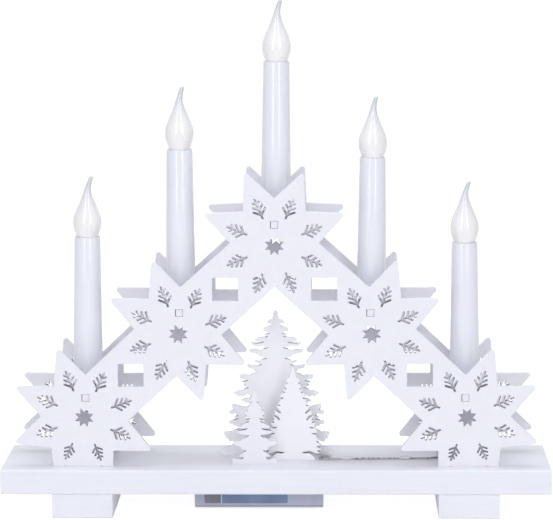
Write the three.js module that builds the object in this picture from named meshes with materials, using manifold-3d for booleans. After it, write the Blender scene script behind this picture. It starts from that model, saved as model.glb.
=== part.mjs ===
// Wooden star candle arch with five electric candles, millimetres, Z up, front faces -Y.
// Two identical sawn panels stand on a plank with two feet. Five cross rails join the panels
// and hold the candles. Three sawn fir trees and a short light string stand on the plank,
// and a battery case sits in a pocket under it.
import * as THREE from "three";
import { mergeVertices } from "three/addons/utils/BufferGeometryUtils.js";
import Module from "manifold-3d";

// Plank and feet
const plankLength = 400;
const plankDepth = 80;
const plankThickness = 18;
const footWidth = 44;
const footHeight = 18;
const footInset = 59.5;
const edgeEase = 0.8;

// Star panels
const panelThickness = 4;
const panelGap = 43;
const archMiddleY = -3;
const starPitchX = 69.9;
const starPitchZ = 64.6;
const outerStarRise = 35.7;
const starLean = 3.1;
const starTipRadius = 56;
const starNotchRadius = 32;
const tipRounding = 1.8;
const windowWidth = 18.6;
const windowHeight = 17.4;
const windowRise = 0.6;
const windowSpread = 0.8;
const littleTipRadius = 7.2;
const littleNotchRadius = 4.2;
const littleStarDrop = [2, 1.9, -0.9];
const panelFootWidth = 43.8;
const panelFootShift = 0.6;
const tabWidth = 26;
const tabDepth = 9;

// Twig cut-outs, eight round each star, with branches that get shorter towards the tip
const twigStart = 20.9;
const twigLength = 16.2;
const twigSlot = 1.3;
const twigBranchTurn = 49;
const twigPairs = 3;
const firstPairAt = 2.6;
const twigPairPitch = 4;
const longestBranch = 5.6;
const branchShortening = 1.35;

// Cross rails
const railWidth = 30;
const railAbove = 10;
const railBelow = 8;
const tenonSide = 4.9;
const tenonShy = 0.4;
const tenonRises = [15.2, 15.4, 14.6];
const outerTenonShift = 1.1;
const leadBore = 5;

// Candles: tube, flame bulb, light holder and light
const tubeLength = 117;
const tubeBottomRadius = 11.2;
const tubeTopRadius = 9.35;
const tubeWall = 1.1;
const candleSeats = [12, 10.9, 11.6, 16.9, 16.6];
const candleShifts = [-0.5, -0.2, 0.6, 1, 0.5];
const candleLeans = [0.7, 0.1, 0.5, 0.4, -0.4];
const bulbHeight = 44.2;
const bulbWall = 1.2;
const bulbSeat = 5;
const bulbLedge = 1.5;
const bulbNeckRadius = 7.7;
const bulbRises = [0, 1.5, 0, 0, 0.3];
const bulbTipLeans = [3.1, 2.6, 3.3, 2.5, 3.7];
const bulbLeanStart = 33;
const holderLength = 9;
const lightRadius = 2.5;
const lightHeight = 6;

// Fir trees
const treeThickness = 3;
const treeSlit = 0.9;
const treeTabDepth = 8;

// Battery case under the plank, three round cells side by side
const pocketDepth = 2.4;
const boardBayLength = 32.6;
const cellSideGap = 0.6;
const caseHeight = 18;
const caseMiddleX = -12.6;
const caseFrontY = -18.4;
const caseWall = 1.8;
const caseRoof = 1.6;
const coverThickness = 1.8;
const cellRadius = 7.1;
const cellLength = 50.2;
const cellPitch = 14.5;
const nubRadius = 2.7;
const nubLength = 1.2;
const springLength = 4.4;
const springTurns = 3;
const springWire = 0.7;
const springRadius = 4.1;
const springTaper = 1.6;
const stripThickness = 0.5;
const stripWidth = 9.4;
const boardThickness = 1.6;
const switchTravel = 3;
const switchDrop = 4.2;
const switchWidth = 10.4;
const switchDepth = 4;
const knobWidth = 3;
const knobHeight = 2.4;
const knobReach = 1.6;
const stringHoleInset = 10.7;
const screwRadius = 1.4;
const screwHeadRadius = 2.6;
const screwLength = 12;

// Wires
const leadRadius = 0.7;
const stringRadius = 0.7;
const dropLength = 8.4;
const dropRadius = 1.6;

// Clearances
const looseFit = 0.3;
const pushFit = 0.2;
const slideFit = 0.3;
const leadStandoff = 0.8;

// Derived places
const plankBottom = footHeight;
const plankTop = plankBottom + plankThickness;
const frontPanelY = archMiddleY - panelGap / 2 - panelThickness;
const backPanelY = archMiddleY + panelGap / 2;
const footCentre = plankLength / 2 - footInset;
const panelFootX = 2 * starPitchX + panelFootShift;

const wasm = await Module();
wasm.setup();

// Solids: three.js makes each form, joins and cuts are booleans on closed meshes

function solidOf(geometry) {
  const bare = new THREE.BufferGeometry();
  bare.setAttribute("position", geometry.getAttribute("position"));
  if (geometry.index) bare.setIndex(geometry.index);
  const merged = mergeVertices(bare, 1e-4);
  return new wasm.Manifold(
    new wasm.Mesh({
      numProp: 3,
      vertProperties: new Float32Array(merged.attributes.position.array),
      triVerts: new Uint32Array(merged.index.array),
    }),
  );
}

function geometryOf(solid) {
  const made = solid.getMesh();
  const geometry = new THREE.BufferGeometry();
  geometry.setAttribute("position", new THREE.BufferAttribute(made.vertProperties, 3));
  geometry.setIndex(new THREE.BufferAttribute(made.triVerts, 1));
  geometry.computeVertexNormals();
  return geometry;
}

function joined(first, ...others) {
  return geometryOf(others.reduce((sum, next) => sum.add(solidOf(next)), solidOf(first)));
}

function cut(first, ...tools) {
  return geometryOf(tools.reduce((rest, tool) => rest.subtract(solidOf(tool)), solidOf(first)));
}

function block(x0, x1, y0, y1, z0, z1) {
  const box = new THREE.BoxGeometry(x1 - x0, y1 - y0, z1 - z0);
  return box.translate((x0 + x1) / 2, (y0 + y1) / 2, (z0 + z1) / 2);
}

// An upright round bar with its axis through x, y
function bar(radius, x, y, z0, z1, sides = 16) {
  const cylinder = new THREE.CylinderGeometry(radius, radius, z1 - z0, sides);
  return cylinder.rotateX(Math.PI / 2).translate(x, y, (z0 + z1) / 2);
}

// A body of revolution round an upright axis, from pairs of radius and height
function turned(pairs, sides) {
  const profile = pairs.map(([radius, height]) => new THREE.Vector2(radius, height));
  return new THREE.LatheGeometry(profile, sides).rotateX(Math.PI / 2);
}

// A board sawn from an outline drawn as seen from the front, with its front face at y
function board(shape, thickness, y) {
  const sawn = new THREE.ExtrudeGeometry(shape, { depth: thickness, bevelEnabled: false });
  return sawn.rotateX(Math.PI / 2).translate(0, y + thickness, 0);
}

// A bar along X whose section is drawn in Y and Z
function runner(section, x0, x1) {
  const long = new THREE.ExtrudeGeometry(section, { depth: x1 - x0, bevelEnabled: false });
  const toLength = new THREE.Matrix4().set(0, 0, 1, x0, 1, 0, 0, 0, 0, 1, 0, 0, 0, 0, 0, 1);
  return long.applyMatrix4(toLength);
}

function shapeOf(pairs) {
  return new THREE.Shape(pairs.map(([u, v]) => new THREE.Vector2(u, v)));
}

// A wooden block with eased long edges
function easedBlock(length, depth, height) {
  const u = depth / 2;
  const e = edgeEase;
  const section = shapeOf([
    [-u + e, 0],
    [u - e, 0],
    [u, e],
    [u, height - e],
    [u - e, height],
    [-u + e, height],
    [-u, height - e],
    [-u, e],
  ]);
  return runner(section, -length / 2, length / 2);
}

// A wire along points chosen by hand, with its rings spaced evenly from point to point
class LaidWire extends THREE.CatmullRomCurve3 {
  getPointAt(u, target) {
    return this.getPoint(u, target);
  }
  getTangentAt(u, target) {
    return this.getTangent(u, target);
  }
}

function wire(points, radius, sides, stepsPerPoint, slack = 0.5) {
  const places = points.map(([x, y, z]) => new THREE.Vector3(x, y, z));
  const path = new LaidWire(places, false, "catmullrom", slack);
  const section = new THREE.Shape();
  for (let side = 0; side < sides; side += 1) {
    const turn = (2 * Math.PI * side) / sides;
    const u = radius * Math.cos(turn);
    const v = radius * Math.sin(turn);
    if (side === 0) section.moveTo(u, v);
    else section.lineTo(u, v);
  }
  const steps = (points.length - 1) * stepsPerPoint;
  return new THREE.ExtrudeGeometry(section, { extrudePath: path, steps, bevelEnabled: false });
}

// Materials

function finish(color, roughness, metalness = 0) {
  return new THREE.MeshStandardMaterial({ color, roughness, metalness });
}

const whitePaint = finish(0xf0f0f6, 0.55);
const shadedPaint = finish(0xe4e6ee, 0.6);
const candlePlastic = finish(0xeef0f8, 0.25);
const flameSilicone = finish(0xf6f3ee, 0.3);
const clearLens = finish(0xf4ead0, 0.1);
const casePlastic = finish(0xc2c6d2, 0.45);
const coverPlastic = finish(0xb9bdca, 0.45);
const knobPlastic = finish(0x3a3d44, 0.5);
const cellWrap = finish(0x4f5f86, 0.35);
const contactMetal = finish(0xc8c9c6, 0.3, 1);
const boardLaminate = finish(0x2f6a4a, 0.5);
const wireSleeve = finish(0xd9dbe2, 0.5);
const stringSleeve = finish(0x8f8a80, 0.4, 0.6);

const candleArch = new THREE.Group();

function add(name, geometry, material) {
  const mesh = new THREE.Mesh(geometry, material.clone());
  mesh.name = name;
  candleArch.add(mesh);
  return mesh;
}

// Stars: rank 0 is the middle star, 1 the inner pair, 2 the outer pair

function starAt(side, rank) {
  const star = { side, rank };
  star.x = side * rank * starPitchX;
  star.z = plankTop + outerStarRise + (2 - rank) * starPitchZ;
  star.turn = rank === 0 ? 0 : side * starLean;
  star.littleZ = star.z - littleStarDrop[rank];
  return star;
}

// A point at a direction and distance from a star, in the star's own turned frame
function starPoint(star, direction, radius, middleZ = star.z) {
  const angle = THREE.MathUtils.degToRad(direction + star.turn);
  return new THREE.Vector2(star.x + radius * Math.cos(angle), middleZ + radius * Math.sin(angle));
}

const stars = [-2, -1, 0, 1, 2].map((place) => starAt(Math.sign(place), Math.abs(place)));

// The corner of an outline as a short arc
function rounded(before, corner, after, radius) {
  const back = before.clone().sub(corner).normalize();
  const ahead = after.clone().sub(corner).normalize();
  const halfAngle = Math.acos(back.dot(ahead)) / 2;
  const reach = radius / Math.tan(halfAngle);
  const middle = back.clone().add(ahead).normalize();
  const nose = corner.clone().addScaledVector(middle, radius / Math.sin(halfAngle) - radius);
  const first = corner.clone().addScaledVector(back, reach);
  const last = corner.clone().addScaledVector(ahead, reach);
  return [first, nose, last];
}

// One stretch of the outline, notch and tip in turn, every 22.5 degrees round a star
function starStretch(star, from, to) {
  const points = [];
  for (let direction = from; direction <= to; direction += 22.5) {
    if (direction % 45 === 0) {
      points.push(starPoint(star, direction, starNotchRadius));
      continue;
    }
    const before = starPoint(star, direction - 22.5, starNotchRadius);
    const after = starPoint(star, direction + 22.5, starNotchRadius);
    const tip = starPoint(star, direction, starTipRadius);
    points.push(...rounded(before, tip, after, tipRounding));
  }
  return points;
}

function panelOutline() {
  const [outer, inner, middle] = stars;
  const foot = panelFootWidth / 2;
  const tab = tabWidth / 2;
  const tabLow = plankTop - tabDepth;
  const half = [
    ...starStretch(middle, 90, 180),
    ...starStretch(inner, 90, 180),
    ...starStretch(outer, 90, 225),
    new THREE.Vector2(-panelFootX - foot, plankTop),
    new THREE.Vector2(-panelFootX - tab, plankTop),
    new THREE.Vector2(-panelFootX - tab, tabLow),
    new THREE.Vector2(-panelFootX + tab, tabLow),
    new THREE.Vector2(-panelFootX + tab, plankTop),
    new THREE.Vector2(-panelFootX + foot, plankTop),
    ...starStretch(outer, 315, 360),
    ...starStretch(inner, 270, 360),
    ...starStretch(middle, 270, 270),
  ];
  const mirrored = half
    .slice(1, -1)
    .reverse()
    .map((point) => new THREE.Vector2(-point.x, point.y));
  return new THREE.Shape([...half, ...mirrored]);
}

function rectangleHole(x, z, width, height) {
  const u = width / 2;
  const v = height / 2;
  return new THREE.Path([
    new THREE.Vector2(x - u, z - v),
    new THREE.Vector2(x - u, z + v),
    new THREE.Vector2(x + u, z + v),
    new THREE.Vector2(x + u, z - v),
  ]);
}

function littleStarHole(star) {
  const points = [];
  for (let direction = 0; direction < 360; direction += 22.5) {
    const radius = direction % 45 === 0 ? littleNotchRadius : littleTipRadius;
    points.push(starPoint(star, direction, radius, star.littleZ));
  }
  return new THREE.Path(points);
}

// A fir twig: a stem along the star's ray with pairs of side branches that point outward
function twigHole(star, direction) {
  const ray = THREE.MathUtils.degToRad(direction + star.turn);
  const turn = THREE.MathUtils.degToRad(twigBranchTurn);
  const half = twigSlot / 2;
  const place = (along, across) => {
    const out = twigStart + along;
    return new THREE.Vector2(
      star.x + out * Math.cos(ray) - across * Math.sin(ray),
      star.littleZ + out * Math.sin(ray) + across * Math.cos(ray),
    );
  };
  const side = (sign) => {
    const points = [];
    for (let pair = 0; pair < twigPairs; pair += 1) {
      const root = firstPairAt + pair * twigPairPitch;
      const length = longestBranch - pair * branchShortening;
      const tip = root + half + length * Math.cos(turn);
      points.push(place(root, sign * half));
      points.push(place(tip, sign * (half + length * Math.sin(turn))));
      points.push(place(root + twigSlot / Math.sin(turn), sign * half));
    }
    return points;
  };
  return new THREE.Path([
    place(0, half),
    ...side(1),
    place(twigLength, 0),
    ...side(-1).reverse(),
    place(0, -half),
  ]);
}

const rays = [22.5, 67.5, 112.5, 157.5, 202.5, 247.5, 292.5, 337.5];

function tenonPlace(star) {
  const place = starPoint(star, 90, tenonRises[star.rank], star.littleZ);
  if (star.rank === 2) place.x -= star.side * outerTenonShift;
  return place;
}

function panelShape() {
  const shape = panelOutline();
  stars.forEach((star, index) => {
    const tenon = tenonPlace(star);
    const slot = tenonSide + 2 * pushFit;
    shape.holes.push(rectangleHole(tenon.x, tenon.y, slot, slot));
    shape.holes.push(littleStarHole(star));
    shape.holes.push(...rays.map((ray) => twigHole(star, ray)));
    const next = stars[index + 1];
    if (!next) return;
    const middleX = (star.x + next.x) / 2;
    const inner = star.rank === 0 || next.rank === 0;
    const windowX = inner ? middleX + Math.sign(middleX) * windowSpread : middleX;
    const windowZ = (star.littleZ + next.littleZ) / 2 + windowRise;
    shape.holes.push(rectangleHole(windowX, windowZ, windowWidth, windowHeight));
  });
  return shape;
}

add("front_panel", board(panelShape(), panelThickness, frontPanelY), whitePaint);
add("back_panel", board(panelShape(), panelThickness, backPanelY), shadedPaint);

// Candles on their rails

const holderRadius = bulbNeckRadius - bulbWall - looseFit;

// Outer shape of the flame bulb: radius at a height above the tube's rim
const bulbProfile = [
  [bulbNeckRadius, 0],
  [8.6, 3.2],
  [9.7, 6.2],
  [10.35, 10.2],
  [10.25, 14.4],
  [9.25, 18.6],
  [6.9, 24.2],
  [4.65, 29.6],
  [2.9, 35.2],
  [2.05, 40],
  [1.3, bulbHeight - 0.6],
];

function flameBulb(tipLean) {
  const inside = [6, 4, 2, 0].map((row) => {
    const [radius, height] = bulbProfile[row];
    return [radius - bulbWall, height];
  });
  const closed = [
    [bulbNeckRadius, -bulbSeat],
    ...bulbProfile,
    [0, bulbHeight],
    [0, inside[0][1] + bulbWall],
    ...inside,
    [bulbNeckRadius - bulbWall, -bulbSeat],
    [bulbNeckRadius, -bulbSeat],
  ];
  const bulb = turned(closed, 12);
  const place = bulb.getAttribute("position");
  for (let i = 0; i < place.count; i += 1) {
    const share = (place.getZ(i) - bulbLeanStart) / (bulbHeight - bulbLeanStart);
    if (share > 0) place.setX(i, place.getX(i) + tipLean * Math.pow(share, 1.6));
  }
  return bulb;
}

// A tapered tube with a ledge near its rim, which carries the bulb's neck
function candleTube() {
  const top = tubeLength;
  const ledge = top - bulbSeat - pushFit;
  return turned(
    [
      [tubeBottomRadius - tubeWall, 0],
      [tubeBottomRadius, 0],
      [tubeTopRadius, top - 0.6],
      [tubeTopRadius - 0.5, top],
      [bulbNeckRadius + pushFit, top],
      [bulbNeckRadius + pushFit, ledge],
      [holderRadius + pushFit, ledge],
      [holderRadius + pushFit, ledge - bulbLedge],
      [tubeTopRadius - tubeWall, ledge - bulbLedge - 1],
      [tubeBottomRadius - tubeWall, 0],
    ],
    16,
  );
}

// A plug in the neck of the bulb, with the light on top and a way through for its wires
function lightHolder() {
  const radius = holderRadius;
  return turned(
    [
      [leadRadius + looseFit, 0],
      [radius, 0],
      [radius, holderLength - 1],
      [radius - 1, holderLength],
      [leadRadius + looseFit, holderLength],
      [leadRadius + looseFit, 0],
    ],
    10,
  );
}

function light() {
  return turned(
    [
      [0, 0],
      [lightRadius + 0.4, 0],
      [lightRadius + 0.4, 1],
      [lightRadius, 1],
      [lightRadius, lightHeight - lightRadius],
      [lightRadius * 0.75, lightHeight - lightRadius * 0.35],
      [0, lightHeight],
    ],
    8,
  );
}

const candles = stars.map((star, index) => {
  const tenon = tenonPlace(star);
  const x = tenon.x + candleShifts[index];
  const railTop = tenon.y + railAbove;
  const seat = railTop - candleSeats[index];
  const bulbZ = seat + tubeLength + bulbRises[index];
  const holderTop = bulbZ + 1.5;
  return { x, tenonX: tenon.x, tenonZ: tenon.y, railTop, seat, bulbZ, holderTop };
});

candles.forEach((candle, index) => {
  const number = index + 1;
  const { x, tenonX, tenonZ, railTop, seat, bulbZ, holderTop } = candle;
  const w = railWidth / 2;
  const t = tenonSide / 2;
  const railFront = archMiddleY - panelGap / 2;
  const railBack = archMiddleY + panelGap / 2;
  const tenonReach = panelThickness - tenonShy;
  const railBottom = tenonZ - railBelow;
  const rail = cut(
    joined(
      block(tenonX - w, tenonX + w, railFront, railBack, railBottom, railTop),
      block(
        tenonX - t,
        tenonX + t,
        railFront - tenonReach,
        railBack + tenonReach,
        tenonZ - t,
        tenonZ + t,
      ),
    ),
    bar(tubeBottomRadius + pushFit, x, archMiddleY, seat, railTop + 1, 20),
    bar(leadBore / 2, x, archMiddleY, railBottom - 1, seat + 1, 10),
  );
  add(`candle_rail_${number}`, rail, whitePaint);

  // The candle leans a little in its bore, about a point halfway down the bore, and one side
  // of its foot touches the seat
  const pivotZ = (seat + railTop) / 2;
  const lean = THREE.MathUtils.degToRad(candleLeans[index]);
  const settle = tubeBottomRadius * Math.sin(Math.abs(lean)) + 0.02;
  const stand = (geometry, z) =>
    geometry.translate(0, 0, z - pivotZ).rotateY(lean).translate(x, archMiddleY, pivotZ);
  add(`candle_tube_${number}`, stand(candleTube(), seat + settle), candlePlastic);
  const bulb = flameBulb(bulbTipLeans[index]);
  add(`flame_bulb_${number}`, stand(bulb, bulbZ), flameSilicone);
  const holder = stand(lightHolder(), holderTop - holderLength);
  add(`light_holder_${number}`, holder, candlePlastic);
  add(`candle_light_${number}`, stand(light(), holderTop), clearLens);
});

// Fir trees: one row for each pair of branches, from the top down, read from one half:
// reach and height of the branch tip, then reach and height of the slit sawn in under it

const backTree = {
  name: "back_tree",
  x: -0.5,
  y: 10,
  top: 108.6,
  tip: 1.1,
  tab: 24,
  branches: [
    [2.1, 105.4, 1.5, 104],
    [6.8, 99.6, 3.8, 98],
    [9.5, 94.4, 5.1, 91],
    [8.5, 89.8, 6, 88.6],
    [15.7, 87, 8.8, 85],
    [18.2, 83.4, 7, 80.6],
    [20.2, 78.2, 7, 72.2],
    [16, 70.4, 10.8, 68],
    [21.7, 67, 15.2, 63.6],
    [17, 62.4, 14.8, 61.4],
    [27.4, 58.6, 21.3, 55.6],
    [26, 54.2, 23, 53],
    [25.2, 51.4, 21.4, 50.2],
    [31.3, 46.6, 21, 43.4],
    [26.6, 40.8, 21, 38.2],
    [33, 36.4, 31, 34.2],
    [35.6, 31.6, 28.6, 29.4],
    [32, 28, 28.4, 26.4],
    [35.6, 24, 27.2, 19.2],
    [39, 15, 29.2, 8.8],
    [40.9, 2.4, 40, 0],
  ],
};

const rightTree = {
  name: "right_tree",
  x: 12.5,
  y: -6,
  top: 69.6,
  tip: 1,
  tab: 16,
  branches: [
    [1.6, 66.8, 1.4, 65.6],
    [4.6, 60.2, 3.5, 57.2],
    [6.2, 50.6, 5.8, 47.6],
    [9.5, 44.4, 7.6, 41],
    [12.5, 38.4, 8.9, 34.6],
    [12.1, 32.6, 9.7, 29.8],
    [16, 26.4, 11.6, 24.2],
    [16, 21.4, 13.1, 19.6],
    [17.4, 15, 14.8, 11.8],
    [20.1, 7.4, 6, 4.6],
    [16, 1.8, 16, 0],
  ],
};

const leftTree = {
  name: "left_tree",
  x: -15.4,
  y: -18.6,
  top: 54.8,
  tip: 1,
  tab: 14,
  branches: [
    [3, 51.2, 2.2, 49.4],
    [4.6, 45.8, 2, 44.4],
    [7.2, 38.4, 3.4, 35.6],
    [6, 33.6, 3.1, 31.8],
    [7.8, 28.4, 4.7, 26.6],
    [12.1, 23.4, 3.8, 20.8],
    [14.8, 15.6, 5.4, 9.8],
    [9.7, 7.8, 8.4, 4.6],
    [16, 1.8, 16, 0],
  ],
};

function treeShape({ top, tip, tab, branches }) {
  const half = [[0, top]];
  for (const [reach, height, slitReach, slitHeight] of branches) {
    const below = Math.max(height - tip, 0.4);
    half.push([reach, height + tip], [reach, below]);
    if (slitHeight > 0) {
      half.push([slitReach, slitHeight + treeSlit / 2], [slitReach, slitHeight - treeSlit / 2]);
    } else {
      half.push([slitReach, 0]);
    }
  }
  half.push([tab / 2, 0], [tab / 2, -treeTabDepth]);
  const mirrored = half
    .slice(1)
    .reverse()
    .map(([u, v]) => [-u, v]);
  return shapeOf([...half, ...mirrored]);
}

const trees = [backTree, rightTree, leftTree];

for (const tree of trees) {
  const sawn = board(treeShape(tree), treeThickness, -treeThickness / 2);
  add(tree.name, sawn, whitePaint).position.set(tree.x, tree.y, plankTop);
}

// Battery case: roof and side walls with a groove for the cover, open below

const bayLength = 2 * (looseFit + stripThickness) + springLength + cellLength + looseFit;
const caseLength = 3 * caseWall + bayLength + boardBayLength;
const caseDepth = 2 * (caseWall + cellSideGap + cellRadius + cellPitch);
const caseTop = plankBottom + pocketDepth;
const caseLow = caseTop - caseHeight;
const coverTop = caseLow + coverThickness;
const caseLeft = caseMiddleX - caseLength / 2;
const caseRight = caseMiddleX + caseLength / 2;
const caseMiddleY = caseFrontY + caseDepth / 2;
const caseBack = caseFrontY + caseDepth;
const ribThickness = 1.1;
const ribHeight = 2.8;
const lipReach = 0.8;
const lipHeight = 1.1;
const grooveDepth = lipReach + 0.1;
const coverEase = 1.4;
const coverGap = 0.2;

const bayLeft = caseLeft + caseWall;
const bayRight = bayLeft + bayLength;
const stripLeft = bayLeft + looseFit + stripThickness;
const stripRight = bayRight - looseFit - stripThickness;
const cellZ = coverTop + slideFit + cellRadius;
const cellY = [-1, 0, 1].map((row) => caseMiddleY + row * cellPitch);

function caseSection() {
  const u = caseDepth / 2;
  const inner = u - caseWall;
  const grooveTop = coverTop + ribHeight + slideFit;
  const grooveLow = coverTop + ribHeight - lipHeight - slideFit;
  const low = coverTop + coverGap;
  const right = [
    [u - 1.2, caseTop],
    [u, caseTop - 1.2],
    [u, low],
    [inner, low],
    [inner, grooveLow],
    [inner + grooveDepth, grooveLow],
    [inner + grooveDepth, grooveTop],
    [inner, grooveTop],
    [inner, caseTop - caseRoof],
  ];
  const left = right.map(([a, b]) => [-a, b]).reverse();
  return shapeOf([...right, ...left]);
}

function coverSection() {
  const u = caseDepth / 2;
  const outer = u - caseWall - slideFit;
  const top = coverTop + ribHeight;
  const right = [
    [u - coverEase, caseLow],
    [u - 0.3 * coverEase, caseLow + 0.3 * coverEase],
    [u, caseLow + coverEase],
    [u, coverTop],
    [outer, coverTop],
    [outer, top - lipHeight],
    [outer + lipReach, top - lipHeight],
    [outer + lipReach, top],
    [outer - ribThickness, top],
    [outer - ribThickness, coverTop],
  ];
  const left = right.map(([a, b]) => [-a, b]).reverse();
  return shapeOf([...right, ...left]);
}

const switchX = (bayRight + caseRight) / 2;
const switchZ = caseTop - caseRoof - boardThickness - switchDrop;
const feedY = 0;
const feedZ = plankBottom - leadRadius - looseFit;
const stringHole = { x: caseRight - stringHoleInset, y: 2, radius: 2 };
const screwPlaces = [-0.5, 0.5].map((row) => ({
  x: (bayLeft + bayRight) / 2,
  y: caseMiddleY + row * cellPitch,
}));

function batteryCase() {
  const ribRoom = coverTop + ribHeight + slideFit;
  const shell = runner(caseSection(), caseLeft, caseRight).translate(0, caseMiddleY, 0);
  const y0 = caseFrontY + caseWall / 2;
  const y1 = caseBack - caseWall / 2;
  const leftWall = block(caseLeft, bayLeft, y0, y1, coverTop + coverGap, caseTop - 1);
  const divider = block(bayRight, bayRight + caseWall, y0, y1, ribRoom, caseTop - 1);
  const rightWall = block(caseRight - caseWall, caseRight, y0, y1, ribRoom + 0.4, caseTop - 1);
  const knobRoom = knobWidth / 2 + slideFit;
  const knobSlot = block(
    switchX - switchTravel / 2 - knobRoom,
    switchX + switchTravel / 2 + knobRoom,
    caseBack - caseWall - 1,
    caseBack + 1,
    switchZ - knobHeight / 2 - slideFit,
    switchZ + knobHeight / 2 + slideFit,
  );
  const feedHole = block(
    caseRight - caseWall - 1,
    caseRight + 1,
    feedY - leadRadius - looseFit,
    feedY + leadRadius + looseFit,
    feedZ - leadRadius - looseFit,
    feedZ + leadRadius + looseFit,
  );
  const roofLow = caseTop - caseRoof;
  const stringWay = roundHole(stringHole, roofLow - 1, caseTop + 1);
  const screwHoles = screwPlaces.map((place) => screwForm(place, looseFit, caseRoof, 1));
  const walls = joined(shell, leftWall, divider, rightWall);
  return cut(walls, knobSlot, feedHole, stringWay, ...screwHoles);
}

function roundHole({ radius, x, y }, z0, z1) {
  return bar(radius, x, y, z0, z1, 10);
}

// A countersunk screw driven up through the case roof, its head flush inside. Its hole is
// the same form, wider by the clearance and open below.
function screwForm({ x, y }, grow, length, below) {
  const headZ = caseTop - caseRoof;
  const head = screwHeadRadius + grow;
  const shank = screwRadius + grow;
  const form = turned(
    [
      [0, headZ - below],
      [head, headZ - below],
      [head, headZ],
      [shank, headZ + head - shank],
      [shank, headZ + length + below],
      [0, headZ + length + below],
    ],
    12,
  );
  return form.translate(x, y, 0);
}

function batteryCover() {
  const plate = runner(coverSection(), caseLeft, caseRight).translate(0, caseMiddleY, 0);
  const inside = caseDepth / 2 - caseWall - slideFit;
  const endLip = block(
    caseRight - caseWall,
    caseRight,
    caseMiddleY - inside,
    caseMiddleY + inside,
    coverTop - 0.5,
    coverTop + ribHeight,
  );
  const ribRoom = block(
    caseLeft - 1,
    bayLeft + slideFit,
    caseFrontY + 0.5,
    caseBack - 0.5,
    coverTop,
    coverTop + ribHeight + 1,
  );
  const grips = [0, 1, 2, 3].map((row) => {
    const x = caseLeft + 8 + row * 3;
    return block(x, x + 1.2, caseMiddleY - 9, caseMiddleY + 9, caseLow - 1, caseLow + 0.5);
  });
  const endEases = [-1, 1].map((side) => {
    const end = caseMiddleX + (side * caseLength) / 2;
    const corner = [
      [end - side * coverEase, caseLow - 0.1],
      [end + side, caseLow - 0.1],
      [end + side, caseLow + coverEase],
      [end, caseLow + coverEase],
      [end - side * 0.3 * coverEase, caseLow + 0.3 * coverEase],
    ];
    const outline = side > 0 ? corner : corner.reverse();
    return board(shapeOf(outline), caseDepth + 2, caseFrontY - 1);
  });
  return cut(joined(plate, endLip), ribRoom, ...grips, ...endEases);
}

add("battery_case", batteryCase(), casePlastic);
add("battery_cover", batteryCover(), coverPlastic);
screwPlaces.forEach((place, index) => {
  const screw = screwForm(place, 0, screwLength - 0.1, 0.1);
  add(`case_screw_${index + 1}`, screw, contactMetal);
});

// Cells: the middle one points the other way
cellY.forEach((y, index) => {
  const body = cellLength - nubLength;
  const cell = turned(
    [
      [0, 0],
      [cellRadius - 0.5, 0],
      [cellRadius, 0.5],
      [cellRadius, body - 0.5],
      [cellRadius - 0.5, body],
      [nubRadius, body],
      [nubRadius, cellLength],
      [0, cellLength],
    ],
    12,
  );
  const way = index === 1 ? -1 : 1;
  const flatEnd = way > 0 ? stripLeft + springLength : stripRight - springLength;
  cell.rotateY((way * Math.PI) / 2);
  add(`battery_cell_${index + 1}`, cell, cellWrap).position.set(flatEnd, y, cellZ);
});

// Contact strips: a flat strip across the ends of one or two cells, with a coil spring
// where a cell's flat end meets it
function contactStrip(x, towards, springY, fromY, toY) {
  const half = stripWidth / 2;
  const strip = block(
    Math.min(x, x - towards * stripThickness),
    Math.max(x, x - towards * stripThickness),
    fromY - half,
    toY + half,
    cellZ - half,
    cellZ + half,
  );
  if (springY === null) return strip;
  const steps = springTurns * 8;
  const points = [];
  for (let step = 0; step <= steps; step += 1) {
    const share = step / steps;
    const turn = 2 * Math.PI * springTurns * share;
    const radius = springRadius - springTaper * share;
    const run = share * (springLength - springWire / 2 - looseFit);
    points.push([
      x + towards * run,
      springY + radius * Math.cos(turn),
      cellZ + radius * Math.sin(turn),
    ]);
  }
  return joined(strip, wire(points, springWire / 2, 4, 1));
}

add("contact_minus", contactStrip(stripLeft, 1, cellY[0], cellY[0], cellY[0]), contactMetal);
add("contact_bridge_left", contactStrip(stripLeft, 1, cellY[2], cellY[1], cellY[2]), contactMetal);
add("contact_bridge_right", contactStrip(stripRight, -1, cellY[1], cellY[0], cellY[1]), contactMetal);
add("contact_plus", contactStrip(stripRight, -1, null, cellY[2], cellY[2]), contactMetal);

// Timer board under the case roof, with the slide switch at the rear wall

const boardX0 = bayRight + caseWall + looseFit;
const boardX1 = caseRight - caseWall - 2;
const boardZ = caseTop - caseRoof;
const boardHole = roundHole(stringHole, boardZ - boardThickness - 1, boardZ + 1);
const circuit = block(
  boardX0,
  boardX1,
  caseFrontY + caseWall + looseFit,
  caseBack - caseWall - looseFit,
  boardZ - boardThickness,
  boardZ,
);
add("timer_board", cut(circuit, boardHole), boardLaminate);

const switchBack = caseBack - caseWall - looseFit;
const knobWay = (switchTravel + knobWidth) / 2 + slideFit;
const switchBody = cut(
  block(
    switchX - switchWidth / 2,
    switchX + switchWidth / 2,
    switchBack - switchDepth,
    switchBack,
    switchZ - knobHeight,
    boardZ - boardThickness,
  ),
  block(
    switchX - knobWay,
    switchX + knobWay,
    switchBack - switchDepth / 2,
    switchBack + 1,
    switchZ - knobHeight / 2 - slideFit,
    switchZ + knobHeight / 2 + slideFit,
  ),
);
add("switch_body", switchBody, knobPlastic);

const knobX = switchX - switchTravel / 2;
const knob = block(
  knobX - knobWidth / 2,
  knobX + knobWidth / 2,
  switchBack - switchDepth / 2 + slideFit,
  caseBack + knobReach,
  switchZ - knobHeight / 2,
  switchZ + knobHeight / 2,
);
add("switch_knob", knob, knobPlastic);

// Plank and feet

const leadHoleX = panelFootX;
const channelHalf = leadRadius + 2 * looseFit;
const channelDepth = 2 * leadRadius + 3 * looseFit;

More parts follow.
